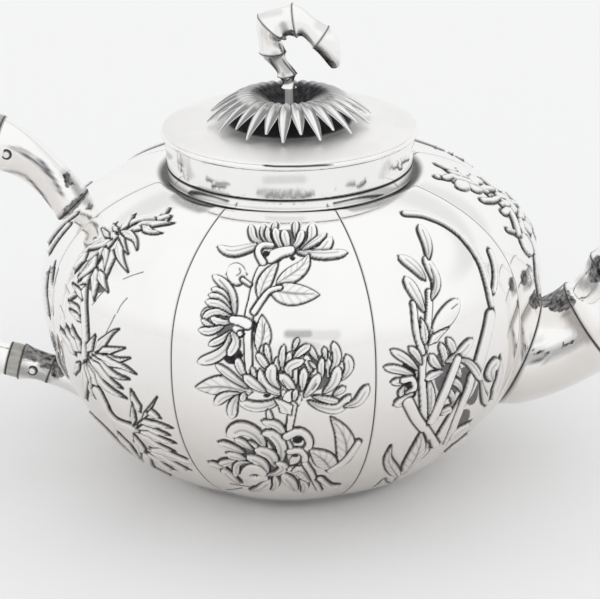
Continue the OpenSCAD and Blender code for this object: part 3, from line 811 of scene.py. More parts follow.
def crown_of(kind, q, t, side):
    """Height and darkness across a stroke: q is 0 on its middle line and 1 on its edge."""
    if kind == "leaf":
        midrib = np.exp(-(q / 0.13) ** 2)
        veins = (0.5 + 0.5 * np.cos(2 * np.pi * (t * 6 - q * 1.1))) ** 5 * np.clip(q * 4, 0, 1)
        return 0.75 * np.sqrt(1 - q * q) - 0.5 * midrib - 0.2 * veins, 0.7 * midrib + 0.3 * veins
    if kind == "petal":
        fold = np.exp(-((q * side + 0.12) / 0.17) ** 2) * (t < 0.82) * (t > 0.12)
        # a petal is darker towards its base: painted shade
        return 0.35 + 0.65 * q ** 2 - 0.15 * fold, 0.5 * fold + 0.45 * (1 - t) ** 3
    if kind == "lance":
        return 0.8 * (1 - q) + 0.1, 0.5 * np.clip(1 - q / 0.16, 0, 1) * (t > 0.2) * (t < 0.85)
    # the ground is painted in shade
    if kind == "ground":
        return 0.0 * q, GROUND_DARK + 0.0 * q
    return np.sqrt(1 - q * q), 0.0 * q


def chase(sheet, kind, width, line, points):
    """Raises one stroke on the flat sheet, over what is there, with a dark punched line round it."""
    middle = flowing_line(points, 5 + 2 * len(points))
    reach = MARK_REACH * width + line + 0.1
    low, high = middle.min(axis=0) - reach, middle.max(axis=0) + reach
    rows = np.where((sheet.run[:, 0] >= low[1]) & (sheet.run[:, 0] <= high[1]))[0]
    if len(rows) == 0:
        return
    band = slice(rows[0], rows[-1] + 1)
    across, run = sheet.across[band], sheet.run[band]
    near = (across >= low[0]) & (across <= high[0])
    if not near.any():
        return
    d, along, side = nearest_on_line(np.stack([across[near], run[near]], axis=1), middle)
    # painted shade and reflections are kept without relief
    if kind in MARKS:
        haze = sheet.haze[band]
        haze[near] = np.maximum(haze[near], MARKS[kind][1] * mark_share(d, width) ** 1.5)
        return
    half = width * WIDTH_OF[kind](along)
    old_height, old_dark = sheet.height[band][near], sheet.dark[band][near]
    if kind == "line":
        cut = np.clip(1.3 - d / np.maximum(half, 1e-6), 0, 1)
        new_height, new_dark = old_height - PUNCH_DEPTH * cut, np.maximum(old_dark, LINE_DARK * cut)
    else:
        q = np.clip(d / np.maximum(half, 1e-6), 0, 1)
        edge = np.clip((half - d) / CHASED_EDGE, 0, 1)
        edge = edge * edge * (3 - 2 * edge)
        crown, dark = crown_of(kind, q, along, side)
        if kind == "ground" and width < SMALL_GROUND:
            dark = dark + SMALL_GROUND_MORE
        lift = GROUND_LIFT if kind == "ground" else PLAIN_LIFT + TIP_LIFT * along + CROWN_LIFT * crown
        raised = edge * lift
        ring = np.clip(RING_GAIN * (1 - (d - half) / line), 0, 1) * (kind != "ground")
        sunk = old_height - np.minimum(ring * RING_SINK, old_height + PUNCH_DEPTH) * (ring > 0)
        new_height = np.where(d < half, raised, sunk)
        new_dark = np.where(d < half, np.clip(dark + (1 - edge) * (kind != "ground"), 0, 1),
                            np.maximum(old_dark, ring))
        if kind == "ground":
            new_dark = np.where(d < half, np.maximum(old_dark, dark * edge), old_dark)
            new_height = np.where(d < half, np.minimum(old_height, raised), old_height)
    height_band, dark_band = sheet.height[band], sheet.dark[band]
    height_band[near], dark_band[near] = new_height, new_dark


# Each line of a drawing is one stroke: its kind, its half width and the picture points from its foot to
# its tip. Later strokes lie over earlier ones.
# Its grey and haze marks are painted reflections of the surroundings.
FRONT_FLOWERS = """
grey 4.5 288,334 309,334
haze 6 290,335 336,335
haze 5 379,322 379,356
haze 4 297,340 318,346
ground 12 262,238 318,241
ground 18 214,318 234,324
ground 9 224,360 242,352
ground 21 272,370 334,374
ground 24 240,457 290,463
ground 3.5 254,320 256,334
stem 4 276,258 264,267 257,282 253,300 249,316 248,340 249,370
petal 3 272,238 276,222
petal 3.6 295,238 296,221
petal 4.6 268,243 250,248 232,252 218,247
petal 3.6 266,244 254,239 251,225
petal 3.4 268,244 263,236 264,225
petal 3 274,246 268,238 268,228
petal 4.8 282,250 278,241 275,229
petal 5 289,251 286,241 284,231
petal 4.2 291,250 299,242 302,231
petal 4.6 300,249 311,240 312,224
petal 3.2 302,250 314,243 326,234
petal 5 302,252 321,251 331,238
ground 2.2 316,247 322,241
petal 4.6 296,252 322,255 347,253
stem 4.6 270,258 280,253 290,251
stem 2.8 263,263 258,253 262,246 272,246
ground 4 266,250 266,258
ground 3 290,259 295,257
leaf 5.8 259,298 264,284 270,273 278,263
leaf 6.6 277,284 292,275 303,266 309,255
leaf 9.5 270,290 290,294 319,295
stem 2.4 254,312 262,300 270,291 280,288
bud 9.6 227,274 246,274
stem 1.8 243,280 250,285
line 1 240,270 241,274 237,277
petal 5.6 235,315 232,296 224,284 213,276
line 0.8 220,281 228,291 230,301
petal 4 230,305 223,294 212,289
petal 3.6 231,309 222,299 209,295
petal 4.6 232,313 220,305 206,302
petal 3.6 216,309 207,311 202,319
petal 3.8 232,317 219,312 209,314 203,321
petal 2.8 215,327 208,324 202,320
petal 4.4 231,322 220,322 211,318
petal 4.4 224,326 211,331 199,330
petal 4 232,330 222,339 209,345
petal 6.4 231,332 227,347 215,357 198,362
petal 5.2 231,331 236,342 229,356
stem 4.6 247,324 240,321 233,320
ground 5 240,329 241,338
bud 2.2 239,331 241,336
leaf 7 260,353 263,334 262,315
line 0.9 265,324 264,335 260,348
petal 4 291,376 288,364 290,352
petal 4.2 299,372 298,362 302,349
petal 4.2 311,374 309,364 305,355
petal 4.2 318,372 323,362 329,352
petal 3.8 328,378 329,368 327,358
petal 3.8 276,376 277,366 279,356
petal 3.8 334,384 340,374 342,362
petal 4 310,386 314,376 322,366
petal 4 296,386 294,374 296,365
petal 3.4 283,372 282,358 284,345
petal 2.8 293,351 298,338
petal 3.4 318,361 313,353 308,345
petal 4.4 293,360 300,352 310,345
petal 2.8 326,360 324,347
petal 4.6 330,374 337,358 333,342
petal 5 342,380 349,367 346,355
petal 3.8 322,379 321,368 322,358
petal 2.2 309,361 316,368
petal 3 261,358 264,345
petal 3.2 271,364 268,355 266,344
petal 4.4 270,372 264,363 257,353
petal 2.6 256,380 252,367
petal 4.4 246,378 241,369 237,358
petal 6.6 280,390 271,378 273,364
petal 4.4 289,396 270,389 262,380 260,369
petal 5.4 266,392 254,384 244,375
petal 5.2 291,379 289,367 304,360
petal 4.8 302,391 303,380 304,368
petal 5.8 296,393 289,384 280,374
line 1 282,380 286,386
petal 5.8 304,397 312,387 319,374
line 1.2 316,383 312,389
petal 5.8 323,393 334,382 338,366
petal 3.2 333,395 345,387
petal 3.6 312,396 325,399 340,402
petal 5.2 308,401 322,407 338,408 350,395
petal 5 344,406 358,401 368,385
petal 5.4 284,397 268,405 252,406 237,399
ground 2.6 263,396 271,395
petal 3.2 286,400 283,390
bud 8.5 283,399 301,400
petal 3.2 294,401 296,389
leaf 9 252,392 225,386 196,387
petal 5 240,393 225,396 215,404
petal 6 238,395 233,405 232,418
petal 4 245,392 242,400
petal 4 248,388 234,378 216,364
stem 3.2 293,405 291,418 287,440
lance 6 291,414 282,404 274,398
petal 3 278,432 272,424 268,409
petal 4 262,460 256,448 247,441
petal 4 276,462 270,450 264,440
petal 4 254,466 246,459 237,454
petal 4 288,460 290,449 286,439
petal 4.4 286,440 278,426 262,421
petal 6.6 265,447 256,434 241,428 228,436
petal 3.2 253,449 244,443 235,438
petal 3.4 245,452 232,447 219,442
petal 3.4 247,459 238,456 227,453
petal 3.2 239,461 230,461 219,464
petal 2.8 228,469 218,466 209,462
petal 3.6 241,483 232,477 223,468
petal 6.2 281,462 281,445 272,434 262,433
petal 5.8 276,466 270,454 255,448
petal 5 268,473 261,462 247,455
petal 3.6 251,461 238,463 236,475
bud 8.6 241,473 268,476
ground 2 250,474 261,474
petal 4.4 250,490 262,487 271,479
petal 3.8 271,490 276,484 275,475
petal 5 267,474 278,472 284,466 276,461
petal 6.4 296,490 290,481 283,473
petal 4.4 302,492 305,485 301,478
line 0.9 231,484 250,487
line 0.9 227,490 242,488
stem 3.4 287,436 298,431 307,436 309,445 302,452
ground 4.6 293,438 302,442
stem 3.2 290,451 300,450 305,457 301,465 290,468
ground 2.6 292,454 298,457
leaf 5 292,471 302,470 311,481
leaf 8.4 332,469 323,458 310,449
leaf 8.6 343,466 346,448 342,432 331,417
stem 2.5 305,463 312,474 320,490
stem 2.5 331,470 345,460 358,442
stem 1.5 320,478 330,485 337,485
"""

# Its first three marks are painted shade and reflection in the cove beside the neck.
LEFT_LEAVES = """
soot 3.2 178,190 185,197 198,203 212,206
soot 2.4 177,184 180,192
grey 5 176,196 186,204 202,210
ground 11 80,262 104,290
ground 8 104,340 108,384
stem 2.5 118,232 105,248 95,262 86,280 84,300 85,320 86,340 85,356
stem 1.2 120,232 130,224 140,220 150,219 166,220
stem 1.2 160,219 168,209
stem 1.2 160,219 168,217
lance 3 130,232 142,226 155,224 173,223
lance 3 142,226 152,232 162,233
lance 4 120,232 128,234 135,240 137,250
lance 3 120,234 123,244 128,254
lance 4 119,240 120,256 128,272
lance 3 113,250 110,262 106,278
lance 3 105,246 106,258 105,270
lance 2 121,231 128,222 135,214
lance 2 118,232 114,226 117,222
lance 2.5 110,238 104,231 101,228
lance 2.5 112,240 100,245 88,250
lance 3 105,247 95,258 78,276
lance 3 98,255 90,268 78,281
lance 3.5 97,268 95,285 94,300
lance 3.5 100,270 103,282 108,292
lance 2.5 88,252 80,262 75,272
lance 2.2 86,285 77,292 70,301
lance 2.2 84,300 78,290 72,283
lance 2.2 82,315 75,307 68,300
lance 2.2 82,322 76,315 69,309
lance 3 82,352 76,340 72,326
lance 3 80,352 72,340 66,325
lance 2.5 76,355 68,342 60,327
lance 3 88,352 92,342 95,335
lance 4 95,352 105,340 113,332 119,329
lance 4 98,353 112,350 125,348
lance 3.5 100,354 115,360 130,358
lance 3.5 95,353 110,362 122,366 136,374
lance 3.5 92,355 105,368 117,376 129,379
lance 3.5 90,358 102,372 112,382 122,388
lance 3 88,360 98,378 108,388 126,398
lance 3 87,362 93,378 103,400
lance 3 86,362 88,378 95,398
lance 3 84,362 85,380 87,400
lance 2.2 80,362 75,375
stem 2.4 98,392 103,402 108,412 118,422 130,427 136,428
lance 3 140,412 135,402 131,390
lance 2 134,425 133,412 133,402
lance 1.6 142,420 150,408 157,397
lance 3 148,412 155,415 160,418
lance 3.5 138,424 155,424 172,428
lance 3.5 138,428 155,431 169,435
lance 3 140,430 158,438 175,443
lance 3 138,432 155,444 174,451
lance 3.5 150,448 170,455 190,462 198,468
lance 3 150,450 168,460 190,470
lance 3 148,452 160,462 175,470
lance 3.5 134,434 140,446 143,458
lance 3 118,432 130,447 142,458
stem 1.5 92,414 104,426 118,440 130,452 142,460
stem 1.5 147,455 152,465 160,470 168,474
line 0.7 143,272 133,275 123,279
line 0.7 127,298 121,305 117,313
line 0.7 105,290 98,297 92,305
line 0.7 115,315 110,325 105,335
"""

# Its first two marks are painted shade and reflection in the cove beside the neck.
RIGHT_REEDS = """
soot 1.8 344,208 368,203 388,194 401,182
grey 4 352,209 376,204 394,196 406,182
ground 14 440,352 452,398
ground 10 462,368 474,404
ground 7 405,356 414,398
ground 8 452,428 470,416
stem 1.6 405,213.5 420,214.5 433,218.5 445,224 460,235 471,248 480,263 486,282 490,300 493,314
stem 1.4 490,252 494,265 495,278 493,291
stem 4.4 438,442 448,425 460,405 471,385 479,362 485,340 490,316
stem 2.6 447,440 455,420 462,402 468,388 471,376
lance 2.8 486,406 483,394 479,376
lance 3.4 490,400 497,384 500,356
petal 4 492,380 490,370 498,360
leaf 4.2 429,414 430,398 429,379
stem 2.8 423,419 422,380 424,350 428,322 429,292
stem 2.4 422,352 416,330 413,303
leaf 3 425,344 424,332 421,318
petal 5.2 431,300 436,282 424,257
line 1.4 432,290 433,280 430,270
petal 5.2 428,260 427,244 419,225
petal 5 425,280 413,266 399,256
petal 5.6 424,312 414,292 405,277
bud 7.4 433,332 458,300
line 0.8 450,309 456,304
lance 3.4 428,345 438,335 449,327
line 0.9 448,337 453,344 454,352
petal 5 418,370 406,359 391,350
petal 4.2 421,364 416,354 409,347
petal 4.6 414,375 400,370 384,367
petal 3.8 414,376 404,381 391,382
petal 3 404,386 401,392 402,397
stem 2.6 403,380 412,379 414,388 407,393
ground 3.4 405,385 411,385
petal 4.2 413,392 405,399 394,405
stem 5.2 408,402 416,418 426,431 435,444
petal 3.4 444,366 444,355 440,343
petal 5 441,369 434,362 430,354
petal 3.8 443,371 435,374 425,379
petal 3.8 452,359 453,350 447,338
petal 5.2 445,362 458,355 472,339
petal 4.8 458,359 470,364 480,380
petal 4.2 460,378 457,370 453,362
petal 4.2 461,392 458,384 450,379
petal 3.2 452,404 452,396 447,388
petal 3.2 438,414 444,411 451,408
stem 3.2 432,420 440,402 446,388 451,375 457,359
lance 2.6 444,452 455,444 468,432
lance 2.4 448,440 458,430 471,421
leaf 6.2 404,471 415,455 421,432
line 1 428,438 430,450 422,459
leaf 5.2 398,476 388,460 391,445
line 0.9 374,487 384,478 387,482 392,483 397,477 406,473
"""

BLOSSOM_BRANCH = """
stem 1.3 446,168 452,173 458,175 466,179 476,183 486,188
stem 1.2 438,177 452,179 458,184
bud 5 456,182 471,189
bud 4.6 468,184 483,191
stem 1.2 483,180 491,187 497,195
stem 1.4 484,189 492,197 500,201
bud 4.4 499,198 508,206
stem 1.3 503,194 509,202 516,205
stem 1.8 499,200 504,206 511,210 516,213 521,219
stem 1.5 520,216 521,228 527,238 533,252 536,261
stem 1.0 508,230 515,233 521,236
bud 4 522,234 529,256
bud 3 524,218 528,228
stem 1.3 535,258 536,275 538,292
line 0.8 490,252 494,265 495,280
"""

SIDE_BLADES = """
stem 0.8 76,214 62,226 50,242
stem 0.8 69,225 60,236 50,252
lance 2.4 56,330 52,300 55,262
lance 2.2 50,318 46,294 50,268
lance 2.4 60,392 55,368 57,338
lance 2.2 52,372 48,350 50,330
"""


def drawing(centre, text):
    """The strokes of a drawing, laid out flat on the lobe where they are seen, in millimetres."""
    sheet = Sheet(centre, 8, 8)
    strokes = []
    for kind, width, points in strokes_of(text):
        flat = sheet.lay_out(points)
        middle = points.mean(axis=0)
        here, right, below = sheet.lay_out([middle, middle + (1, 0), middle + (0, 1)])
        run = points[-1] - points[0]
        run /= np.hypot(*run)
        spread = np.stack([right - here, below - here], axis=1)
        scale = abs(np.linalg.det(spread)) / np.hypot(*(spread @ run))
        if kind not in ("ground", "line") and kind not in MARKS:
            width = width * STROKE_SPREAD + STROKE_MORE
        scale = min(scale, LARGEST_SCALE)
        strokes.append((kind, width * scale, CHASED_LINE * min(scale, LARGEST_LINE_SCALE), flat))
    return strokes


QUARTER = np.pi / 2
FINE, PLAIN = (196, 440), (160, 340)     # columns and rows of a lobe
# A drawing with the angle of the lobe it was drawn at, and 1, or -1 for a mirrored copy
FRONT = (FRONT_FLOWERS, -QUARTER, 1)
LEFT = (LEFT_LEAVES, -1.5 * QUARTER, 1)
RIGHT = (RIGHT_REEDS, -0.5 * QUARTER, 1)
# Piece, quarter turns to its lobe, its grid, and the drawings on it
PANELS = (
    ("body_lobe_front", -1, FINE, (FRONT,)),
    ("body_lobe_front_left", -1.5, FINE, (LEFT,)),
    ("body_lobe_front_right", -0.5, FINE, (RIGHT,)),
    ("body_lobe_spout", 0, PLAIN, ((BLOSSOM_BRANCH, 0.0, 1), (BLOSSOM_BRANCH, 0.0, -1))),
    ("body_lobe_handle", 2, PLAIN, ((SIDE_BLADES, 2 * QUARTER, 1), (SIDE_BLADES, 2 * QUARTER, -1))),
    ("body_lobe_back_right", 0.5, FINE, (LEFT,)),
    ("body_lobe_back", 1, FINE, (FRONT,)),
    ("body_lobe_back_left", 1.5, FINE, (RIGHT,)),
)


def make_body():
    chased = {}
    for name, quarters, grid, drawings in PANELS:
        centre = quarters * QUARTER
        if drawings not in chased:
            chased[drawings] = Sheet(centre, *grid)
            for text, drawn_at, way in drawings:
                for kind, width, line, points in drawing(drawn_at, text):
                    chase(chased[drawings], kind, width, line, points * (way, 1))
        sheet = chased[drawings]
        sheet.centre = centre
        piece = lobe_panel(sheet, name)
        only(piece)
        bpy.ops.object.shade_smooth()
        piece.data.attributes.remove(piece.data.attributes["grid_order"])
        finished(piece, name, CHASED, "pot", "body_shell")


make_body()


# ---------------------------------------------------------------- lid and neck
# Painted reflections of the room on the lid's band, by picture points
LID_MARKS = """
haze 4 266,180 303,179
haze 5 267,195 301,195
haze 3 184,160 192,176
haze 3 381,176 388,163
grey 1.6 217,184 228,184
grey 2.5 164,151 170,157
haze 4 196,150 205,160
"""


# A painted dark reflection along the front of the lid's bead and crown
LID_FRONT = """
soot 1.0 264,165.5 276,166.5 300,166.5 330,165
"""


# Painted shade in the gap between lid and neck at distances from it, and painted shadow under the leaves at
# radii
NECK_FADE = ([0.15, 0.55], [0.95, 0.0])
BAND_FADE = ([0.1, 0.4], [0.9, 0.0])
CROWN_FADE = ([15.2, 16.2], [0.97, 0.0])
FOOT_EDGE_H = 0.35                        # upright edge of the neck's foot
BAND_EDGE = ((0.3, 0.0), (0.08, 0.1))     # rounding of the band's foot: distance in, and height


def make_neck():
    sleeve_r = MOUTH_R + NECK_WALL
    under = curve_points(sleeve_r, NECK_FOOT_R, 8,
                         lambda r: (r, WAIST_H + rise_at(r) - GROOVE_DEPTH + SOLDER_GAP))
    cove = curve_points(0, 1, 18, lambda u: (
        NECK_FOOT_R + (SEAT_R - NECK_FOOT_R) * u ** 0.5,
        NECK_FOOT_Z + FOOT_EDGE_H + (NECK_RISE - FOOT_EDGE_H) * u))
    piece = turned([(MOUTH_R, SEAT_Z - SLEEVE_H), (sleeve_r, SEAT_Z - SLEEVE_H)] + under + cove
                   + [(MOUTH_R, SEAT_Z)])
    z = points_of(piece)[:, 2] / MM
    # painted shade where the lid's band sits on the neck
    paint_patina_shade_and_reflections(piece, patina_and_shade=np.interp(SEAT_Z - z, *NECK_FADE), low=0)
    smooth(piece)
    finished(piece, "neck_cove", POLISHED, "pot", "neck_collar")


def make_lid():
    band = [(BAND_LOW_R - BAND_WALL, SEAT_Z)]
    band += [(BAND_LOW_R - inset, SEAT_Z + height) for inset, height in BAND_EDGE]
    band += curve_points(0.03, 1, 26, lambda u: (BAND_LOW_R + (BAND_TOP_R - BAND_LOW_R) * u ** 1.5,
                                                 SEAT_Z + BAND_H * u))
    band.append((BAND_TOP_R - BAND_WALL, BAND_TOP_Z))
    piece = turned(band, sides=240)
    z = points_of(piece)[:, 2] / MM
    # painted shade at the band's foot, and painted reflections on the band
    paint_patina_shade_and_reflections(piece, LID_MARKS, np.interp(z - SEAT_Z, *BAND_FADE), low=0, mirrored=False)
    smooth(piece)
    finished(piece, "lid_side", POLISHED, "lid", "lid_band")

    bead = RIM_H / 2
    rim = [(RIM_R - RIM_W, BAND_TOP_Z)]
    rim += arc(RIM_R - bead, BAND_TOP_Z + bead, bead, -90, 90, 14)
    rim.append((RIM_R - RIM_W, RIM_TOP_Z))
    piece = turned(rim)
    # a painted dark reflection along the front
    paint_patina_shade_and_reflections(piece, LID_FRONT, low=0.3)
    smooth(piece)
    finished(piece, "lid_bead", POLISHED, "lid", "lid_rim")

    under_r = DOME_R - DOME_WALL
    over = curve_points(90, 2.5, 44, lambda a: (DOME_R * math.sin(math.radians(a)),
                                                dome_z(DOME_R * math.sin(math.radians(a)))))
    under = curve_points(2.6, 90, 24, lambda a: (
        under_r * math.sin(math.radians(a)),
        RIM_TOP_Z + (DOME_RISE - DOME_WALL) * (1 - math.sin(math.radians(a)) ** DOME_POWER) ** 0.5))
    piece = turned(over + under)
    # painted shadow under the leaves, and a painted dark reflection along the front
    paint_patina_shade_and_reflections(piece, LID_FRONT, np.interp(radii_of(piece), *CROWN_FADE), low=0)
    smooth(piece)
    finished(piece, "lid_crown", CROWN, "lid", "lid_top")


def dome_z(r):
    return RIM_TOP_Z + DOME_RISE * max(0.0, 1 - (r / DOME_R) ** DOME_POWER) ** 0.5


TIP_Z = dome_z(LEAF_LONG_R) + TIP_GAP + LEAF_T


def leaf_z(r):
    inner = CREST_Z - DISH_DEPTH * (1 + np.cos(np.pi * np.minimum(r, CREST_R) / CREST_R)) / 2
    share = np.clip((r - CREST_R) / (LEAF_LONG_R - CREST_R), 0, 1)
    return np.where(r < CREST_R, inner, CREST_Z - (CREST_Z - TIP_Z) * share ** 1.7)


LEAF_START_R, LEAF_ACROSS, LEAF_ALONG = 2.2, 13, 66
LEAF_SHEET, LEAF_SINK = 0.35, 0.35        # thickness of a leaf, and how far its edges lie below the curve
LEAF_RIDGE, LEAF_EDGE = 0.62, 0.30        # how far its middle stands up and its edges turn down
# Painted shade and reflections on a leaf: black in the creases at its edges, dark on one side of its ridge,
# and a dark reflection in the dish that fades out over the leaves, with streaks
CREASE_DARK, SHADED_DARK, STREAK_DARK = 0.97, 0.72, 0.16
DISH_FADE = ([8.4, 9.4, 10.4, 13.5, 15.5], [FULL_DARK, 0.9, 0.62, 0.42, 0.06])
NEAR_SIDE_LIGHTER = 0.36                  # how much lighter the dish's painted reflection is on its near side
TOP_FACING = 0.05                         # upright share of a normal from which a face is on top
# the boss under the leaves is painted in shade
BOSS_GAP, BOSS_SINK, BOSS_DARK = 0.05, 0.5, 0.95


def make_leaf(number, tip_r):
    """One leaf from the dished centre to its tip, ridged along its middle, as a closed shell."""
    middle = 2 * np.pi * number / LEAVES
    u = np.linspace(-1, 1, LEAF_ACROSS)[None, :]
    t = np.linspace(0, 1, LEAF_ALONG)[:, None]
    r = LEAF_START_R + (tip_r - LEAF_START_R) * t + 0 * u
    free = np.clip((r - LEAF_NOTCH_R) / (tip_r - LEAF_NOTCH_R), 0, 1)
    half = np.pi / LEAVES * (0.995 - 0.98 * free ** 1.4)
    angle = middle + u * half
    swell = np.clip(r / 9.0, 0.1, 1)
    ridge = LEAF_RIDGE * swell * (1 - np.abs(u)) ** 0.8 - LEAF_EDGE * swell * np.abs(u) ** 3
    top = leaf_z(r) + ridge * np.clip(1.15 - free, 0.15, 1) - LEAF_SINK
    over = np.stack([r * np.cos(angle), r * np.sin(angle), top], axis=-1)
    piece = place_grid(over[::-1], "leaf")
    crease = np.clip((np.abs(u) - 0.6) / 0.3, 0, 1) * np.clip((r - 8) / 3, 0, 1) * CREASE_DARK
    shaded_side = np.clip(u * 4, 0, 1) * np.clip((r - 11.5) / 2, 0, 1) * SHADED_DARK
    near = np.clip(0.5 - 1.6 * np.sin(angle), 0, 1) * (r > BOSS_R + 0.6)
    dish = np.interp(r, *DISH_FADE) * (1 - NEAR_SIDE_LIGHTER * near)
    streaks = STREAK_DARK * np.cos(u * np.pi * 4 + number) * near
    dark = np.clip(np.maximum(np.maximum(crease, shaded_side), dish + streaks), 0, FULL_DARK)
    thick = piece.modifiers.new("thickness", "SOLIDIFY")
    thick.thickness = LEAF_SHEET * MM
    thick.offset = -1
    apply_modifiers(piece)
    on_top = normals_of(piece)[:, 2] > TOP_FACING
    point_values(piece, "patina_and_shade", grid_order(piece, dark[::-1]) * on_top)
    return piece


def make_collar():
    leaves = [make_leaf(k, LEAF_LONG_R if k % 2 else LEAF_SHORT_R) for k in range(LEAVES)]
    boss_top, bore = float(leaf_z(BOSS_R)) - BOSS_SINK, STUD_R + BOSS_GAP
    boss = turned([(bore, LID_TOP_Z), (BOSS_R, LID_TOP_Z), (BOSS_R, boss_top), (bore, boss_top)], sides=48)
    point_values(boss, "patina_and_shade", np.full(len(boss.data.vertices), BOSS_DARK))
    piece = joined(leaves[0], *leaves[1:], boss)
    smooth(piece, 35)
    piece.data.attributes.remove(piece.data.attributes["grid_order"])
    finished(piece, "leaf_umbrella", COLLAR, "lid", "leaf_collar")


make_neck()
make_lid()
make_collar()


# ---------------------------------------------------------------- bamboo tubes
# A joint is (x, z, heading in degrees from +X towards +Z, radius)
SPOUT_JOINTS = ((59.5, 31, 0, 14.2), (78, 39, 36, 12.5), (85.8, 52.2, 58, 10.3), (93, 65.5, 60, 8.6),
                (101.4, 79, 56, 7.4), (109.1, 88.5, 48, 6))
UPPER_SOCKET_JOINTS = ((-56.6, 70, 125, 5.5), (-75.3, 86.3, 163, 7.3))
LOWER_SOCKET_JOINTS = ((-53.5, 17.5, 152, 4.2), (-64.8, 23, 158, 4), (-72.5, 25.1, 166, 5))
LOWER_DISC_R, UPPER_TENON_R, LOWER_TENON_R = 4.6, 3.6, 2.3
# How far a section's waist lies inside the line between its joints; the hook's tail swells instead
SPOUT_PINCH, UPPER_PINCH, LOWER_PINCH, GRIP_PINCH, HOOK_PINCH, TAIL_PINCH = 1.0, 1.2, 0.5, 0.8, 0.8, -0.45
TUBE_SIDES, TUBE_RINGS = 84, 18
LIP_TURNS, TAIL_TURNS, TAIL_END = (30, 60, 90, 120, 150), (30, 55, 75), 0.7
JOINT_DARK, JOINT_LINE = 0.975, 0.34      # of the line at a joint
HOOK_JOINT_DARK, HOOK_JOINT_LINE = 0.85, 0.22
ROOT_DARK, ROOT_SHARE, BORE_DARK = 0.95, 0.05, 0.5


def direction(heading):
    return math.cos(math.radians(heading)), math.sin(math.radians(heading))


def ahead(joint, distance):
    x, z, heading, r = joint
    along, up = direction(heading)
    return x + distance * along, z + distance * up, heading, r


UPPER_JOINT, LOWER_JOINT = UPPER_SOCKET_JOINTS[-1], LOWER_SOCKET_JOINTS[-1]
GRIP_START, GRIP_STOP = ahead(UPPER_JOINT, DISC_T), ahead(LOWER_JOINT, DISC_T)
GRIP_JOINTS = (GRIP_START, (-96.5, 86.6, 203, 6.7), (-106.9, 72, 250, 6.2), (-107.1, 53, 283, 5.8),
               (-96.5, 35.5, 320, 5.3), (GRIP_STOP[0], GRIP_STOP[1], 346, LOWER_DISC_R))
HOOK_JOINTS = ((0, STEM_Z, 90, 1.9), (-0.4, STEM_Z + 3.2, 100, 2.6), (-4, STEM_Z + 9.1, 92, 3.5),
               (-4.1, STEM_Z + 15.6, 49, 4.8), (1.6, STEM_Z + 17.3, 8, 4.5),
               (8.1, STEM_Z + 13.1, -36, 3.5), (11.6, STEM_Z + 5.8, -80, 1.3))


def station(a, b, t, pinch):
    """The centre line's point, heading and radius at share t from joint a to joint b."""
    pull = math.hypot(b[0] - a[0], b[1] - a[1])
    if t < 0:
        return ahead(a, t * pull)
    ends = [np.array(a[:2]), pull * np.array(direction(a[2])),
            np.array(b[:2]), pull * np.array(direction(b[2]))]
    place = ((2 * t ** 3 - 3 * t ** 2 + 1) * ends[0] + (t ** 3 - 2 * t ** 2 + t) * ends[1]
             + (3 * t ** 2 - 2 * t ** 3) * ends[2] + (t ** 3 - t ** 2) * ends[3])
    waist = pinch * max(0.0, math.sin(math.pi * t)) ** 0.7
    return place[0], place[1], a[2] + (b[2] - a[2]) * t, a[3] + (b[3] - a[3]) * t - waist


def ring_points(where, sides, inset=0.0, turns=None):
    x, z, heading, r = where
    turn = np.linspace(0, 2 * np.pi, sides, endpoint=False) if turns is None else np.asarray(turns)
    h, r = math.radians(heading), r - inset
    return np.stack([x - r * np.cos(turn) * math.sin(h), r * np.sin(turn),
                     z + r * np.cos(turn) * math.cos(h)], axis=-1)


def skin_through(rings, closed):
    """A tube pulled out ring by ring through stations (x, z, heading, radius)."""
    nothing_selected()
    x, z, heading, r = rings[0]
    bpy.ops.mesh.primitive_circle_add(vertices=TUBE_SIDES, radius=r * MM, location=(x * MM, 0, z * MM),
                                      rotation=(0, math.radians(90 - heading), 0))
    piece = bpy.context.object
    apply_place(piece)
    edit(piece)
    bpy.ops.mesh.select_all(action="SELECT")
    for next_x, next_z, next_heading, next_r in rings[1:]:
        bpy.ops.mesh.extrude_region_move(
            TRANSFORM_OT_translate={"value": ((next_x - x) * MM, 0, (next_z - z) * MM)})
        middle = (next_x * MM, 0, next_z * MM)
        turn = (next_heading - heading + 180) % 360 - 180
        if abs(turn) > 1e-6:
            bpy.ops.transform.rotate(value=math.radians(turn), orient_axis="Y", center_override=middle)
        bpy.ops.transform.resize(value=(next_r / r,) * 3, center_override=middle)
        x, z, heading, r = next_x, next_z, next_heading, next_r
    if closed:
        join_open_edges()
    else:
        close_ends()
    face_outwards()
    leave_edit()
    return piece


def bamboo_share(i):
    """Where the rings lie along a section: close together near its joints."""
    u = i / TUBE_RINGS
    return 0.5 - 0.5 * math.cos(math.pi * u) if 0 < i < TUBE_RINGS else u


def nearest(places, wanted):
    """The index of the place nearest to each wanted point."""
    gaps = ((wanted[:, None, :] - places[None, :, :]) ** 2).sum(axis=2)
    return gaps.argmin(axis=1)


def exit_shares(a, b, inset, pinch):
    """The share of the section at which each line along the tube comes out of the body."""
    turns = np.linspace(0, 2 * np.pi, TUBE_SIDES, endpoint=False)
    shares = []
    for turn in turns:
        low, high = -0.8, 1.0
        for _ in range(20):
            middle = (low + high) / 2
            p = ring_points(station(a, b, middle, pinch), 1, inset, [turn])[0]
            out = math.hypot(p[0], p[1]) > crest(p[2]) * lobe(math.atan2(p[1], p[0])) + SOLDER_GAP
            low, high = (low, middle) if out else (middle, high)
        shares.append(high)
    return turns, np.array(shares)


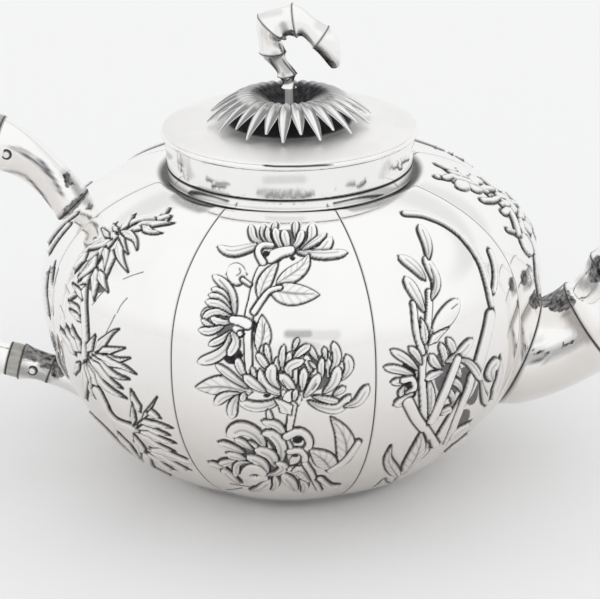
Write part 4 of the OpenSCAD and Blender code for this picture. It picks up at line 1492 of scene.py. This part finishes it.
def joint_lines(places, joints, level=JOINT_DARK, width=JOINT_LINE):
    """Darkness at places near the joints between lengths of bamboo."""
    dark = np.zeros(len(places))
    for x, z, heading, r in joints:
        level_part, upright = direction(heading)
        dx, dz = places[:, 0] - x, places[:, 2] - z
        along = dx * level_part + dz * upright
        off = np.hypot(dz * level_part - dx * upright, places[:, 1])
        dark = np.maximum(dark, level * mark_share(np.abs(along), width) * (off < 1.3 * r))
    return dark


def bamboo_section(a, b, wall, pinch, seated=False, lip=False, marks=""):
    """One hollow length of bamboo between two joints; its first ring lies on the body when it is seated."""
    shares = [bamboo_share(i) for i in range(TUBE_RINGS + 1)]
    outer = [station(a, b, t, pinch) for t in shares]
    if lip:
        outer[-1] = ahead(outer[-1], -wall / 2)
    inner = [(x, z, h, r - wall) for x, z, h, r in outer]
    edge = []
    if lip:
        x, z, h, r = outer[-1]
        for along, up in map(direction, LIP_TURNS):
            edge.append(ahead((x, z, h, r - wall / 2 + wall / 2 * along), wall / 2 * up))
    piece = skin_through(outer + edge + inner[::-1], True)
    places = points_of(piece) / MM
    dark = np.zeros(len(places))
    for layer, inset in ((outer, 0.0), (inner, wall)):
        turns, exits = exit_shares(a, b, inset, pinch) if seated else (None, None)
        for i, t in enumerate(shares):
            found = nearest(places, ring_points(layer[i], TUBE_SIDES))
            root = ROOT_DARK * max(0.0, 1 - t / ROOT_SHARE) * seated
            dark[found] = root if inset == 0 else BORE_DARK
            if seated:
                places[found] = np.array([
                    ring_points(station(a, b, e + (1 - e) * t, pinch), 1, inset, [turn])[0]
                    for turn, e in zip(turns, exits)])
    set_points(piece, places * MM)
    dark = np.maximum(dark, joint_lines(places, [b] * (not lip) + [a] * (not seated)))
    paint_patina_shade_and_reflections(piece, marks, dark)
    smooth(piece, 35)
    return piece


# Painted reflections and shade on the tubes, by picture points: kind, half width and a line
SPOUT_MARKS = """
blot 9 545,298 562,297
blot 7 556,306 569,302
soot 2.5 534,289 531,300
grey 6 568,314 586,338
brown 12 570,312 590,338
grey 5.5 528,355 550,354 568,347 580,340
blot 2.2 533,352 547,354
blot 2.2 560,346 572,341
brown 20 520,385 560,375 585,362
dusk 2 526,361 545,360
blot 8 600,262 595,276
grey 6 583,283 593,286
grey 5 590,262 596,272
haze 3 537,341 541,339
"""

UPPER_SOCKET_MARKS = """
grey 1.6 8,147 22,149 34,156
dusk 1.6 20,152 33,160 42,167 50,177
dusk 1.6 38,158 46,166 56,183 63,197
haze 3 26,155 44,170 56,188
blot 3.6 62,175 65,171
blot 4 68,185 72,183
grey 4 66,175 74,184 80,196
brown 9 14,168 34,176 50,196 57,215
brown 5 10,155 30,168 46,185
dusk 1.2 30,180 42,194 50,207 54,219
grey 1.5 4,171 16,172 26,176
blot 6 70,211 78,203 85,198
blot 4 66,217 72,207
"""

LOWER_SOCKET_MARKS = """
blot 10 30,350 45,357 60,369
blot 8 34,352 50,360 60,368
grey 3 40,366 56,377
grey 6 22,370 45,378
"""

GRIP_MARKS = """
dusk 1.3 0,114 3,116
"""


def make_sections(names, joints, wall, pinch, marks, seated=False, lip=False):
    """One piece of bamboo for each name; the first may be seated on the body and the last have a lip."""
    for i, name in enumerate(names):
        piece = bamboo_section(joints[i], joints[i + 1], wall, pinch, seated=seated and i == 0,
                               lip=lip and i == len(names) - 1, marks=marks)
        finished(piece, name + "_bamboo", BAMBOO, "pot", name)


def make_handle():
    make_sections(("upper_socket",), UPPER_SOCKET_JOINTS, HANDLE_WALL, UPPER_PINCH, UPPER_SOCKET_MARKS,
                  seated=True)
    a, b, c = LOWER_SOCKET_JOINTS
    first = bamboo_section(a, b, HANDLE_WALL, LOWER_PINCH, seated=True, marks=LOWER_SOCKET_MARKS)
    second = bamboo_section(b, c, HANDLE_WALL, LOWER_PINCH, marks=LOWER_SOCKET_MARKS)
    finished(joined(first, second), "lower_socket_bamboo", BAMBOO, "pot", "lower_socket")
    make_sections(("grip_shoulder", "grip_back_upper", "grip_back", "grip_back_lower", "grip_tail"),
                  GRIP_JOINTS, HANDLE_WALL, GRIP_PINCH, GRIP_MARKS)


# Painted reflections and shade on the hook, by picture points
HOOK_MARKS = """
soot 1.7 285,40 284.5,47 285,53 288,60 293,68 296.5,73
soot 1.4 297,76 295,82 294,88
soot 1.7 286,39.5 291,36.5 299,38 305,42 309,48
soot 2.2 312,51 319,58 327,66 334,72
grey 6 316,50 324,57 333,66
blot 3.4 285,36 291,33
blot 3 299,36 306,41
blot 4 316,53 325,61 333,66
grey 3.5 283,25 286,32
grey 3.5 301,32 308,42
grey 3 321,55 333,62
grey 3 276,44 283,47
dusk 1.2 270,59 275,68 277,77 278,84
grey 5 276,57 284,64 288,70
grey 2 283,74 286,82
haze 3 262,16 280,12
haze 4 318,25 326,30
brown 4 264,32 270,42
"""


def make_hook():
    rings = []
    for a, b in zip(HOOK_JOINTS, HOOK_JOINTS[1:]):
        pinch = TAIL_PINCH if b == HOOK_JOINTS[-1] else HOOK_PINCH
        rings += [station(a, b, bamboo_share(i), pinch) for i in range(TUBE_RINGS)]
    rings.append(HOOK_JOINTS[-1])
    x, z, h, r = HOOK_JOINTS[-1]
    rings += [ahead((x, z, h, r * along), TAIL_END * up) for along, up in map(direction, TAIL_TURNS)]
    piece = skin_through(rings, False)
    places = points_of(piece) / MM
    lines = joint_lines(places, HOOK_JOINTS[1:-1], HOOK_JOINT_DARK, HOOK_JOINT_LINE)
    paint_patina_shade_and_reflections(piece, HOOK_MARKS, lines, low=0.3)
    smooth(piece, 35)
    finished(piece, "hook_finial", BAMBOO, "lid", "finial")


# ---------------------------------------------------------------- bone insulators and pins
def set_along(piece, joint):
    """Turns a piece made about the Z axis to the heading of a joint and sets it there."""
    x, z, heading, _ = joint
    piece.rotation_euler = (0, math.radians(90 - heading), 0)
    piece.location = (x * MM, 0, z * MM)
    apply_place(piece)
    return piece


BONE_BEVEL, BONE_GAP, BONE_SWELL, BONE_BORE = 0.45, 0.05, 0.06, 0.2
TENON_BEVEL_R, TENON_BEVEL_L = 0.4, 0.5
HEAD_SMALLER, RING_WIDER = 0.18, 0.42
# A pin's end from its ring to its middle: radius from the ring's or the head's, and depth below the top
RING_OUTLINE = ((-0.04, 0.95), (0, 0.62), (-0.12, 0.5))
HEAD_OUTLINE = ((0.12, 0.5), (0, 0.42), (0, 0.16), (-0.14, 0.04))
TOP_OUTLINE = ((0.25, 0), (0.05, 0))
SHANK_DEPTH = 1.0


def make_insulator(name, joint, disc_r, tenon_r, node):
    """A bone disc with softened edges, between two tenons that reach into the tubes."""
    bevel, disc_end, tenon_end = BONE_BEVEL, DISC_T - BONE_GAP, DISC_T + TENON_L
    outline = [(BONE_BORE, -TENON_L), (tenon_r - TENON_BEVEL_R, -TENON_L),
               (tenon_r, -TENON_L + TENON_BEVEL_L), (tenon_r, BONE_GAP)]
    outline += arc(disc_r - bevel, BONE_GAP + bevel, bevel, -90, 0, 5)
    outline += curve_points(0, 1, 6, lambda u: (
        disc_r + BONE_SWELL * math.sin(math.pi * u) - BONE_SWELL,
        BONE_GAP + bevel + (DISC_T - 2 * BONE_GAP - 2 * bevel) * u))[1:]
    outline += arc(disc_r - bevel, disc_end - bevel, bevel, 0, 90, 5)[1:]
    outline += [(tenon_r, disc_end), (tenon_r, tenon_end - TENON_BEVEL_L),
                (tenon_r - TENON_BEVEL_R, tenon_end), (BONE_BORE, tenon_end)]
    piece = set_along(turned(outline, sides=96, capped=True), joint)
    smooth(piece, 50)
    finished(piece, name, BONE, "pot", node, slot="bone")


def make_pins(name, places, half_length, node):
    """Round-headed pins right through the tubes, each head in a blackened ring."""
    head, ring = PIN_R - HEAD_SMALLER, PIN_R + RING_WIDER
    end = [(base + more, half_length - depth)
           for base, outline in ((ring, RING_OUTLINE), (head, HEAD_OUTLINE), (0, TOP_OUTLINE))
           for more, depth in outline]
    shank = half_length - SHANK_DEPTH
    pins = []
    for x, z, _, _ in places:
        piece = turned([(r, -y) for r, y in reversed(end)] + [(PIN_R, -shank), (PIN_R, shank)] + end,
                       sides=40, capped=True)
        point_values(piece, "patina_and_shade", np.interp(radii_of(piece), [head - 0.02, head + 0.05], [0.15, 0.97]))
        piece.rotation_euler = (math.radians(90), 0, 0)
        piece.location = (x * MM, 0, z * MM)
        apply_place(piece)
        pins.append(piece)
    piece = joined(*pins)
    smooth(piece, 30)
    finished(piece, name, POLISHED, "pot", node)


def make_fastenings():
    make_insulator("upper_bone", UPPER_JOINT, UPPER_JOINT[3], UPPER_TENON_R, "upper_insulator")
    make_insulator("lower_bone", LOWER_JOINT, LOWER_DISC_R, LOWER_TENON_R, "lower_insulator")
    make_pins("upper_rivets", [ahead(UPPER_JOINT, -PIN_PLACE), ahead(GRIP_START, PIN_PLACE)],
              UPPER_JOINT[3] - PIN_WAIST + PIN_PROUD, "upper_pins")
    make_pins("lower_rivets", [ahead(LOWER_JOINT, -PIN_PLACE), ahead(GRIP_STOP, PIN_PLACE)],
              LOWER_JOINT[3] - PIN_WAIST + PIN_PROUD, "lower_pins")


make_sections(("spout_root", "spout_lower", "spout_middle", "spout_upper", "spout_tip"),
              SPOUT_JOINTS, SPOUT_WALL, SPOUT_PINCH, SPOUT_MARKS, seated=True, lip=True)
make_handle()
make_hook()
make_fastenings()


# ---------------------------------------------------------------- nodes that keep their own shape
for node in ("base_plate", "foot_ring", "lid_flange", "finial_stud", "finial_washer", "finial_nut"):
    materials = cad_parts[node].data.materials
    materials.clear()
    materials.append(POLISHED)
